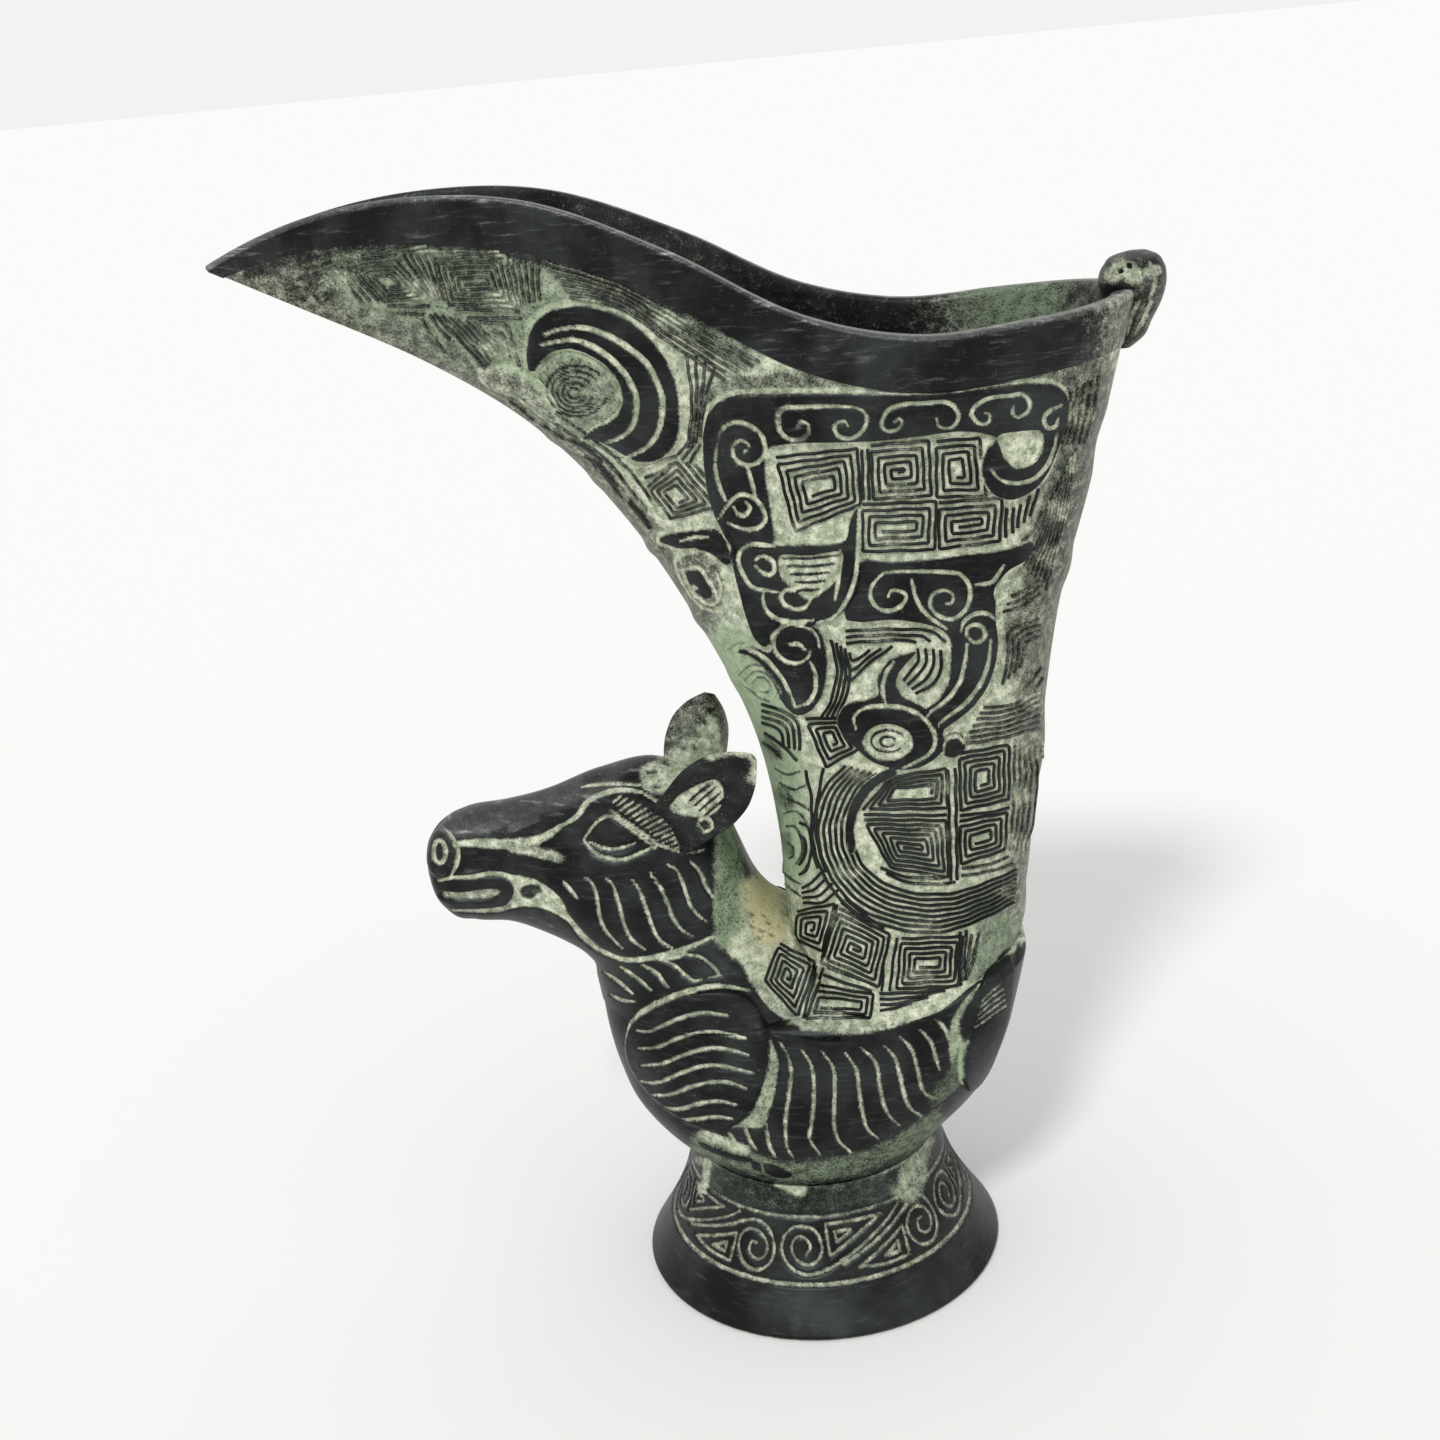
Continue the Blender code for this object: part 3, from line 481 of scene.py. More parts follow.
class Relief:
    """Height and finish of a skin's points, carved by lines drawn over a flat picture of it.

    A finish is given by mark: patina from 0, dark worn metal, to 1, pale crust, and shares of green
    verdigris, tan soil and rubbed bright wear, which in places is a painted sheen. On crusted ground
    more crust gathers beside a raised plate, in a rim. The width of a cut line sways a little, as if cut by
    hand.
    """

    rim: float = 5.0
    rim_crust: float = 0.95
    crusted_ground: tuple[float, float] = (0.2, 0.4)
    lowest_rimmed: float = 0.3
    worn_top: float = 0.04
    line_crust: float = 0.94
    line_end: float = 0.3
    line_slope: tuple[float, float] = (0.22, 0.72)
    line_coat: tuple[float, float] = (0.22, 0.78)
    sway: float = 0.09

    def __init__(self, flat: np.ndarray, patina: float) -> None:
        """Start level and evenly coated.

        Args:
            flat: Where each point lies in the picture, in pixels.
            patina: The patina to start with.
        """
        self.shape = flat.shape[:-1]
        self.flat = flat.reshape(-1, 2)
        self.height = np.zeros(len(self.flat))
        self.finish = {m.value: np.zeros(len(self.flat)) for m in Mark}
        self.finish["patina"] += patina

    def near(self, line: np.ndarray, reach: float) -> np.ndarray:
        """Which points lie within reach of a line's box."""
        low, high = line.min(0) - reach, line.max(0) + reach
        return np.flatnonzero(((self.flat > low) & (self.flat < high)).all(axis=1))

    def lay(self, some: np.ndarray, cover: np.ndarray, finish: dict[str, float]) -> None:
        """Blend a finish into some of the points by how far each is covered."""
        for name, value in finish.items():
            self.finish[name][some] += (value - self.finish[name][some]) * cover

    def plate(self, text: str | np.ndarray, rise: float = 0.9, edge: float = 2.4, hole: str = "",
              **finish: float) -> None:
        """Raise a flat plate with a worn, dark top, or sink or only colour its outline.

        Args:
            text: Its outline.
            rise: Its height above the ground, under zero for a pocket.
            edge: Width of its sloped side, in pixels.
            hole: Outline of a part left out of it.
            finish: Its finish, by mark.
        """
        outline = flowing(drawn(text), closed=True)
        some = self.near(outline, edge + self.rim)
        points = self.flat[some]
        depth = distance_to(points, np.vstack([outline, outline[:1]]))
        depth = np.where(inside(points, outline), depth, -depth)
        if hole:
            pocket = flowing(drawn(hole), closed=True)
            gap = distance_to(points, np.vstack([pocket, pocket[:1]]))
            depth = np.minimum(depth, np.where(inside(points, pocket), -gap, gap))
        self.height[some] += rise * soft_step(-edge / 2, edge / 2, depth)
        if rise > self.lowest_rimmed:
            rim = soft_step(-self.rim, -0.6 * self.rim, depth)
            rim *= 1 - soft_step(-0.3 * self.rim, 0.0, depth)
            rim *= soft_step(*self.crusted_ground, self.finish["patina"][some])
            self.lay(some, rim, {"patina": self.rim_crust})
        cover = soft_step(-0.2 * edge, 0.7 * edge, depth)
        self.lay(some, cover, {"patina": self.worn_top, "green": 0.0, "soil": 0.0} | finish)

    def groove(self, text: str, **how: float) -> None:
        """Cut a drawn line."""
        self.cut(flowing(drawn(text)), **how)

    def cut(self, line: np.ndarray, width: float = 3.9, deep: float = 0.42, taper: float = 0.4,
            **finish: float) -> None:
        """Cut a line that holds pale crust.

        Args:
            line: Its path.
            width: Its width, in pixels.
            deep: Its depth, under zero for a ridge.
            taper: How much of its width is lost at both ends.
            finish: Its finish, by mark.
        """
        some = self.near(line, width)
        gap, passed = nearest_on(self.flat[some], line)
        across, down = self.flat[some].T
        # Waves of some 20 to 50 pixels, as a hand sways
        waves = np.sin(0.31 * across + 0.17 * down) * np.sin(0.13 * across - 0.29 * down)
        ends = soft_step(0.0, self.line_end, np.minimum(passed, 1 - passed))
        gap = gap / (width * (1 + self.sway * waves) * (1 - taper * (1 - ends)))
        self.height[some] -= deep * (1 - soft_step(*self.line_slope, gap))
        self.lay(some, 1 - soft_step(*self.line_coat, gap), {"patina": self.line_crust} | finish)

    def grooves(self, *texts: str, **how: float) -> None:
        """Cut several like lines."""
        for text in texts:
            self.groove(text, **how)

    def hatch(self, first: str, last: str, count: int, **how: float) -> None:
        """Cut evenly spaced lines from a first one to a last one."""
        for line in between(first, last, count):
            self.cut(line, **how)

    def mound(self, centre: tuple[float, float], radii: tuple[float, float], rise: float) -> None:
        """Swell the skin softly over an oval, or hollow it."""
        share = np.hypot(*((self.flat - np.array(centre)) / np.array(radii)).T)
        self.height += rise * (1 - soft_step(0.0, 1.0, share))

    def stain(self, text: str, width: float, **finish: float) -> None:
        """Lay a soft finish along a line.

        Args:
            text: Its path.
            width: Its width in pixels. It fades over the outer half of this.
            finish: Its finish, by mark.
        """
        line = flowing(drawn(text))
        some = self.near(line, width)
        gap = distance_to(self.flat[some], line)
        self.lay(some, 1 - soft_step(0.25 * width, 0.75 * width, gap), finish)

    def turn_to(self, flat: np.ndarray) -> None:
        """Draw what follows over another flat picture of the same points."""
        self.flat = flat.reshape(-1, 2)

    def carved(self, points: np.ndarray, outward: np.ndarray) -> np.ndarray:
        """The skin's points moved out by the relief."""
        return points + outward * self.height.reshape(self.shape)[..., None]

    def marks(self) -> dict[str, np.ndarray]:
        """The finish of every point, by mark."""
        return {name: values.reshape(self.shape) for name, values in self.finish.items()}


def between(first: str, last: str, count: int) -> list[np.ndarray]:
    """Lines evenly spaced from a first one to a last one with as many points."""
    a, b = drawn(first), drawn(last)
    return [flowing(a + (b - a) * k / max(count - 1, 1)) for k in range(count)]


# Finishes

def linear(hex_colour: str) -> tuple[float, float, float, float]:
    """Turn an sRGB colour to linear.

    Args:
        hex_colour: The colour as a hex value.

    Returns:
        Its linear red, green and blue, and an alpha of 1.
    """
    parts = [int(hex_colour[k:k + 2], 16) / 255 for k in (1, 3, 5)]
    values = [p / 12.92 if p <= 0.04045 else ((p + 0.055) / 1.055) ** 2.4 for p in parts]
    return (*values, 1.0)


def add_node(tree: bpy.types.NodeTree, kind: str, feeds: dict[str | int, Any] | None = None,
             **settings: Any) -> bpy.types.NodeOutputs:
    """Add a node to a tree.

    Args:
        tree: The tree.
        kind: The node's type.
        feeds: Values or output sockets for its inputs, by name or number.
        settings: Other properties of the node.

    Returns:
        The new node's outputs.
    """
    node = tree.nodes.new(kind)
    for name, value in settings.items():
        setattr(node, name, value)
    for name, value in (feeds or {}).items():
        socket = node.inputs[name]
        if isinstance(value, bpy.types.NodeSocket):
            tree.links.new(value, socket)
        else:
            socket.default_value = value
    return node.outputs


NOISE = "ShaderNodeTexNoise"
MATHS = "ShaderNodeMath"
RAMP = "ShaderNodeMapRange"
MIX = "ShaderNodeMix"
MIX_SHARE, MIX_FIRST, MIX_SECOND, MIX_COLOUR = 0, 6, 7, 2


@dataclass(frozen=True)
class PatinatedBronze:
    """Old cast bronze, worn by hands and crusted with patina: hex colours, millimetres and shares.

    Handled high parts are near-black with a soft sheen. The hollows hold a pale, grey-green, matt
    crust that breaks up at its edges, greener where damp stood in it.
    """

    name: str
    worn: str = "#121514"
    worn_light: str = "#333736"
    scuffed: str = "#4a4e4d"
    crust: str = "#dde2c9"
    crust_grey: str = "#9aa28a"
    verdigris: str = "#8aa67f"
    soil: str = "#d0c79a"
    # Light grey of metal rubbed bright, also used as painted sheen
    rubbed_and_sheen: str = "#a8aaa7"
    metal_share: float = 0.78
    worn_roughness: float = 0.42
    crust_roughness: float = 0.88
    # Real crust is gritty at about a tenth of a millimetre, so its grain is drawn coarser to show
    grain: float = 0.32
    mottle: float = 1.5
    cloud: float = 11.0
    streak: float = 5.0
    streak_flatness: float = 7.0
    noise_roughness: float = 0.6
    # Where each part of the finish starts and is full
    streak_range: tuple[float, float] = (0.52, 0.78)
    pit_range: tuple[float, float] = (0.30, 0.46)
    cloud_range: tuple[float, float] = (0.35, 0.75)
    mottle_range: tuple[float, float] = (0.36, 0.7)
    patina_range: tuple[float, float] = (0.12, 0.9)
    tint_range: tuple[float, float] = (0.2, 1.0)
    rub_and_sheen_range: tuple[float, float] = (0.15, 1.1)
    metal_range: tuple[float, float] = (0.0, 0.7)
    # How strongly the noises break up edges, scuff, rub bright, lay painted sheen and raise the surface
    coarse_break: float = 0.5
    fine_break: float = 0.8
    scuffing: float = 0.55
    even_rub_and_sheen: float = 0.6
    streaky_rub_and_sheen: float = 0.9
    patchy_rub_and_sheen: float = 0.45
    worn_lumps: float = 0.25
    mottle_lumps: float = 0.6
    lump_strength: float = 0.35
    lump_height: float = 0.18

    def build(self) -> bpy.types.Material:
        """Make the material.

        Returns:
            A node material that reads the marks on a skin's points.
        """
        material = bpy.data.materials.new(self.name)
        material.use_nodes = True
        tree = material.node_tree
        mark = {m: add_node(tree, "ShaderNodeAttribute", attribute_name=m.value)["Fac"] for m in Mark}
        place = add_node(tree, "ShaderNodeTexCoord")["Object"]
        squeezed = add_node(tree, "ShaderNodeVectorMath",
                            {0: place, 1: (1.0, 1.0, self.streak_flatness)}, operation="MULTIPLY")[0]
        grain, mottle, cloud, brush = (
            add_node(tree, NOISE, {"Vector": where, "Scale": 1 / (size * MM), "Detail": detail,
                                   "Roughness": self.noise_roughness})["Fac"]
            for size, detail, where in ((self.grain, 3.0, place), (self.mottle, 4.0, place),
                                        (self.cloud, 3.0, place), (self.streak, 5.0, squeezed)))

        # Noise that breaks up the edges of crust and wear
        coarse = add_node(tree, MATHS, {0: mottle, 1: 0.5}, operation="SUBTRACT")[0]
        coarse = add_node(tree, MATHS, {0: coarse, 1: self.coarse_break}, operation="MULTIPLY")[0]
        fine = add_node(tree, MATHS, {0: grain, 1: 0.5}, operation="SUBTRACT")[0]
        fine = add_node(tree, MATHS, {0: fine, 1: self.fine_break}, operation="MULTIPLY")[0]
        broken = add_node(tree, MATHS, {0: coarse, 1: fine}, operation="ADD")[0]
        patina, green, soil = (
            add_node(tree, MATHS, {0: mark[m], 1: broken}, operation="ADD")[0]
            for m in (Mark.PATINA, Mark.GREEN, Mark.SOIL))

        # Hands rub the metal bright along its streaks; the same mark also lays painted sheen
        streaks, pits, clouds, mottling, crusted, greened, soiled = (
            add_node(tree, RAMP, {"Value": value, 1: low, 2: high}, interpolation_type="SMOOTHSTEP")[0]
            for value, (low, high) in (
                (brush, self.streak_range), (grain, self.pit_range), (cloud, self.cloud_range),
                (mottle, self.mottle_range), (patina, self.patina_range), (green, self.tint_range),
                (soil, self.tint_range)))
        rub_and_sheen = add_node(tree, MATHS, {0: streaks, 1: self.streaky_rub_and_sheen}, operation="MULTIPLY")[0]
        rub_and_sheen = add_node(tree, MATHS, {0: self.even_rub_and_sheen, 1: rub_and_sheen}, operation="ADD")[0]
        rub_and_sheen = add_node(tree, MATHS, {0: mark[Mark.WEAR], 1: rub_and_sheen}, operation="MULTIPLY")[0]
        patchy = add_node(tree, MATHS, {0: broken, 1: self.patchy_rub_and_sheen}, operation="MULTIPLY")[0]
        rub_and_sheen = add_node(tree, MATHS, {0: rub_and_sheen, 1: patchy}, operation="ADD")[0]
        rub_and_sheen = add_node(tree, RAMP, {"Value": rub_and_sheen, 1: self.rub_and_sheen_range[0], 2: self.rub_and_sheen_range[1]},
                       interpolation_type="SMOOTHSTEP")[0]

        # Colours: dark worn metal, pale crust over it, and bright rubbed edges and painted sheen over both
        scuffs = add_node(tree, MATHS, {0: streaks, 1: self.scuffing}, operation="MULTIPLY")[0]
        pitted = add_node(tree, MATHS, {0: 1.0, 1: pits}, operation="SUBTRACT")[0]
        worn, crust = linear(self.worn), linear(self.crust_grey)
        for share, colour in ((clouds, self.worn_light), (scuffs, self.scuffed)):
            feeds = {MIX_SHARE: share, MIX_FIRST: worn, MIX_SECOND: linear(colour)}
            worn = add_node(tree, MIX, feeds, data_type="RGBA")[MIX_COLOUR]
        for share, colour, blend in ((mottling, self.crust, "MIX"), (greened, self.verdigris, "MIX"),
                                     (soiled, self.soil, "MIX"), (pitted, self.crust_grey, "MULTIPLY")):
            feeds = {MIX_SHARE: share, MIX_FIRST: crust, MIX_SECOND: linear(colour)}
            crust = add_node(tree, MIX, feeds, data_type="RGBA", blend_type=blend)[MIX_COLOUR]
        surface = worn
        for share, colour in ((crusted, crust), (rub_and_sheen, linear(self.rubbed_and_sheen))):
            feeds = {MIX_SHARE: share, MIX_FIRST: surface, MIX_SECOND: colour}
            surface = add_node(tree, MIX, feeds, data_type="RGBA")[MIX_COLOUR]

        # Sheen and lumps: worn metal is smooth and metallic, crust is rough and dull
        rough = add_node(tree, RAMP, {"Value": crusted, 3: self.worn_roughness, 4: self.crust_roughness},
                         interpolation_type="SMOOTHSTEP")[0]
        metal = add_node(tree, RAMP, {"Value": crusted, 1: self.metal_range[0], 2: self.metal_range[1],
                                      3: self.metal_share, 4: 0.0}, interpolation_type="SMOOTHSTEP")[0]
        grit = add_node(tree, MATHS, {0: self.worn_lumps, 1: crusted}, operation="ADD")[0]
        grit = add_node(tree, MATHS, {0: grain, 1: grit}, operation="MULTIPLY")[0]
        lumps = add_node(tree, MATHS, {0: mottle, 1: self.mottle_lumps}, operation="MULTIPLY")[0]
        lumps = add_node(tree, MATHS, {0: grit, 1: lumps}, operation="ADD")[0]
        bump = add_node(tree, "ShaderNodeBump", {"Strength": self.lump_strength, "Height": lumps,
                                                 "Distance": self.lump_height * MM})["Normal"]
        shader = tree.nodes["Principled BSDF"].inputs
        for name, socket in (("Base Color", surface), ("Roughness", rough), ("Metallic", metal),
                             ("Normal", bump)):
            tree.links.new(socket, shader[name])
        return material


@dataclass(frozen=True)
class PaperSweep:
    """Pale matt paper under the vase: near-white out to the backdrop, with a soft shadow."""

    colour: str = "#fafaf8"
    half_width: float = 60.0

    def build(self) -> None:
        """Lay the paper."""
        mesh = bpy.data.meshes.new("paper_floor")
        w = self.half_width
        mesh.from_pydata([(-w, -w, 0), (w, -w, 0), (w, w, 0), (-w, w, 0)], [], [(0, 1, 2, 3)])
        material = bpy.data.materials.new("pale_matt_paper")
        material.use_nodes = True
        shader = material.node_tree.nodes["Principled BSDF"]
        shader.inputs["Base Color"].default_value = linear(self.colour)
        shader.inputs["Roughness"].default_value = 1.0
        shader.inputs["Specular IOR Level"].default_value = 0.0
        mesh.materials.append(material)
        floor = bpy.data.objects.new("paper_floor", mesh)
        bpy.context.scene.collection.objects.link(floor)


@dataclass(frozen=True)
class StudioLight:
    """Broad, plain light: an even white room, and a soft key from the front and a little left."""

    room: float = 0.72
    backdrop: str = "#f2f2f1"
    key_strength: float = 1.25
    key_spread: float = 9.0
    key_way: tuple[float, float, float] = (46.0, 153.0, -165.0)

    def build(self) -> None:
        """Make the key and the room's light."""
        world = bpy.data.worlds.new("white_room")
        bpy.context.scene.world = world
        world.use_nodes = True
        tree = world.node_tree
        room = tree.nodes["Background"]
        room.inputs["Color"].default_value = (1.0, 1.0, 1.0, 1.0)
        room.inputs["Strength"].default_value = self.room
        seen = add_node(tree, "ShaderNodeBackground",
                        {"Color": linear(self.backdrop), "Strength": 1.0})[0]
        light = add_node(tree, "ShaderNodeLightPath")
        rays = light["Is Camera Ray"]
        for kind in ("Is Glossy Ray", "Is Transmission Ray"):
            rays = add_node(tree, MATHS, {0: rays, 1: light[kind]}, operation="MAXIMUM")[0]
        mixed = add_node(tree, "ShaderNodeMixShader", {0: rays, 1: room.outputs[0], 2: seen})[0]
        tree.links.new(mixed, tree.nodes["World Output"].inputs["Surface"])
        data = bpy.data.lights.new("soft_key", "SUN")
        data.energy = self.key_strength
        data.angle = math.radians(self.key_spread)
        lamp = bpy.data.objects.new("soft_key", data)
        lamp.rotation_euler = Vector(self.key_way).to_track_quat("-Z", "Y").to_euler()
        bpy.context.scene.collection.objects.link(lamp)
        bpy.context.scene.view_settings.view_transform = "Standard"


# Meshes

class Loft:
    """Rows of points joined into a closed skin, with the finish of every point."""

    def __init__(self, patina: float = 0.3) -> None:
        """Start with no rows.

        Args:
            patina: The patina of rows that bring no finish of their own.
        """
        self.rows: list[np.ndarray] = []
        self.marks: dict[str, list[np.ndarray]] = {m.value: [] for m in Mark}
        self.patina = patina

    def add(self, points: np.ndarray, marks: dict[str, np.ndarray] | None = None) -> None:
        """Add a row of points, or several.

        Args:
            points: The row, or an array of rows.
            marks: The finish of the points, by mark.
        """
        points = points if points.ndim == 3 else points[None]
        for k, row in enumerate(points):
            self.rows.append(row)
            for name, kept in self.marks.items():
                plain = self.patina if name == Mark.PATINA.value else 0.0
                kept.append(marks[name][k] if marks else np.full(len(row), plain))

    def carve(self, grid: np.ndarray, relief: Relief) -> None:
        """Add the rows of a skin that goes all the way round, moved out by its relief."""
        self.add(relief.carved(grid, outward_of(grid, around=True)), relief.marks())

    def piece(self, name: str, material: bpy.types.Material, around: bool, looped: bool,
              mirrored: bool = False, sharp: float = 75.0) -> bpy.types.Object:
        """Make the skin as a piece of the vase.

        Args:
            name: The piece's name.
            material: Its finish.
            around: Whether each row closes on itself. Open rows get flat cheeks at both ends.
            looped: Whether the last row joins the first. Others get a cap at both ends.
            mirrored: Whether to make it on the far side instead.
            sharp: Angle in degrees past which an edge stays crisp.

        Returns:
            The object, with its place in its mesh.
        """
        points = np.concatenate(self.rows)
        if mirrored:
            points = points * np.array([1.0, -1.0, 1.0])
        count, width = len(self.rows), len(self.rows[0])
        index = np.arange(count * width).reshape(count, width)
        below = index if looped else index[:-1]
        above = np.roll(index, -1, axis=0) if looped else index[1:]
        if around:
            quads = np.stack([below, np.roll(below, -1, axis=1), np.roll(above, -1, axis=1), above],
                             axis=-1)
        else:
            quads = np.stack([below[:, :-1], below[:, 1:], above[:, 1:], above[:, :-1]], axis=-1)
        faces = quads.reshape(-1, 4).tolist()
        if looped and not around:
            faces += [index[::-1, 0].tolist(), index[:, -1].tolist()]
        if not looped:
            faces += [index[0, ::-1].tolist(), index[-1].tolist()]
        mesh = solid_mesh(name, points, faces, material, sharp)
        for mark, rows in self.marks.items():
            values = np.concatenate(rows).astype(np.float32)
            mesh.attributes.new(mark, "FLOAT", "POINT").data.foreach_set("value", values)
        return shown(name, mesh)


def foot_axis() -> float:
    """Where the foot's axis stands along X, in metres."""
    low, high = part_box("foot_ring")
    return (low.x + high.x) / 2


def placed(points: np.ndarray) -> list[list[float]]:
    """Points in metres in the shared frame, from millimetres about the foot's axis."""
    return (points * MM + np.array([foot_axis(), 0.0, 0.0])).tolist()


def face_out(mesh: bpy.types.Mesh) -> None:
    """Turn the faces of a closed mesh outward.

    Args:
        mesh: The mesh.
    """
    work = bmesh.new()
    work.from_mesh(mesh)
    bmesh.ops.recalc_face_normals(work, faces=work.faces)
    work.to_mesh(mesh)
    work.free()


def solid_mesh(name: str, points: np.ndarray, faces: list[list[int]], material: bpy.types.Material,
               sharp: float) -> bpy.types.Mesh:
    """Make a mesh with its faces outward.

    Args:
        name: Its name.
        points: Its points, in millimetres about the foot's axis.
        faces: The numbers of each face's points.
        material: Its finish.
        sharp: Angle in degrees past which an edge stays crisp.

    Returns:
        The mesh, in metres in the shared frame.
    """
    mesh = bpy.data.meshes.new(name)
    mesh.from_pydata(placed(points), [], faces)
    face_out(mesh)
    mesh.materials.append(material)
    mesh.shade_smooth()
    mesh.set_sharp_from_angle(angle=math.radians(sharp))
    return mesh


def shown(name: str, mesh: bpy.types.Mesh) -> bpy.types.Object:
    """Put a mesh in the scene.

    Args:
        name: Name of the object.
        mesh: The mesh.

    Returns:
        The object, at the origin.
    """
    piece = bpy.data.objects.new(name, mesh)
    bpy.context.scene.collection.objects.link(piece)
    return piece


def outward_of(points: np.ndarray, around: bool) -> np.ndarray:
    """Directions square to a skin, pointing away from its middle.

    Args:
        points: The skin's points, in rows.
        around: Whether each row closes on itself. Open rows end on the vase's middle plane.

    Returns:
        A direction for each point, one long.
    """
    if around:
        across = np.roll(points, -1, axis=1) - np.roll(points, 1, axis=1)
    else:
        across = np.gradient(points, axis=1)
        across[:, (0, -1), 0] = 0.0
        across[:, (0, -1), 2] = 0.0
    square = np.cross(across, np.gradient(points, axis=0))
    square /= np.maximum(np.linalg.norm(square, axis=-1, keepdims=True), TINY)
    away = points - points.mean(axis=1, keepdims=True)
    return square * np.where((square * away).sum() < 0, -1.0, 1.0)


def dress(piece: bpy.types.Object, slot: str, *nodes: str) -> None:
    """Let a piece ride with the vase and stand for solids.

    Args:
        piece: The piece.
        slot: The record's material slot; not used.
        nodes: The solids that it stands for.
    """
    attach(piece, "root")
    if nodes:
        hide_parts(*nodes)
    faces = sum(len(face.vertices) - 2 for face in piece.data.polygons)
    LOG.info("%s: %d triangles", piece.name, faces)


# Drawings that two pieces share

SADDLE_EDGE = ("738,925 744,962 753,987 768,1008 789,1023 811,1032 840,1034 879,1032 939,1011 "
               "981,979 1015,952")


def draw_crook(relief: Relief) -> None:
    """The rough crook between neck and horn: pale and green, with tan soil at its bottom.

    Args:
        relief: The skin to draw on.
    """
    relief.plate(
        "712,838 726,818 738,838 750,884 775,880 797,893 800,950 772,986 752,990 738,962 722,946 712,932",
        rise=0.0, edge=14.0, patina=0.66, green=0.5, soil=0.25)
    relief.stain("728,826 731,870 726,910 728,940", 24, patina=0.54, green=0.8, soil=0.3)
    relief.stain("744,946 764,958 786,952 796,930", 30, patina=0.94, green=0.3, soil=0.3)
    relief.stain("758,890 764,908 770,930", 34, patina=0.88, soil=0.8)
    relief.grooves(
        "752,926 755,927", "761,930 764,931", "768,922 771,923", "759,938 762,938", "771,934 774,935",
        "752,914 754,915", "764,914 766,915", width=3.4, deep=0.4, taper=0.0, patina=0.55, soil=0.6)


def draw_shoulder(relief: Relief) -> None:
    """The shoulder pad with its waving lines, which lies over the neck and the body.

    Args:
        relief: The skin to draw on.
    """
    relief.plate(
        "628,1034 640,1014 665,1000 700,991 735,992 754,1003 766,1030 767,1060 759,1090 749,1112 734,1125 "
        "705,1128 670,1110 642,1082 629,1058", rise=0.9, edge=7.0)
    relief.grooves("626,1044 632,1022 650,1007 680,994 715,986 748,990", width=5.6, deep=0.3, patina=0.74)
    relief.grooves(
        "640,1029 652,1030 668,1022 685,1015 705,1011 727,1014",
        "643,1047 660,1046 680,1037 700,1031 715,1030 730,1033 747,1037",
        "645,1064 665,1062 685,1054 705,1048 722,1047 738,1050 750,1054",
        "640,1079 660,1081 680,1073 700,1066 718,1064 735,1067 755,1072",
        "653,1093 672,1093 692,1086 712,1081 730,1081 748,1087",
        "662,1105 682,1107 700,1102 720,1100 738,1103", "680,1118 700,1117 718,1115 734,1117", width=4.0,
        deep=0.4, patina=0.72)


def draw_saddle(relief: Relief) -> None:
    """The pale strip where body and neck meet the horn."""
    relief.plate(SADDLE_EDGE + " 1040,900 800,870 750,890", rise=0.0, edge=3.0, patina=0.7)


# Horn

class ThunderGroup(NamedTuple):
    """Cells and bars of the thunder pattern with like ridges: bars run from a first to a last line."""

    patina: float
    pitch: float
    cells: tuple[str, ...]
    bars: tuple[tuple[str, str, int], ...]


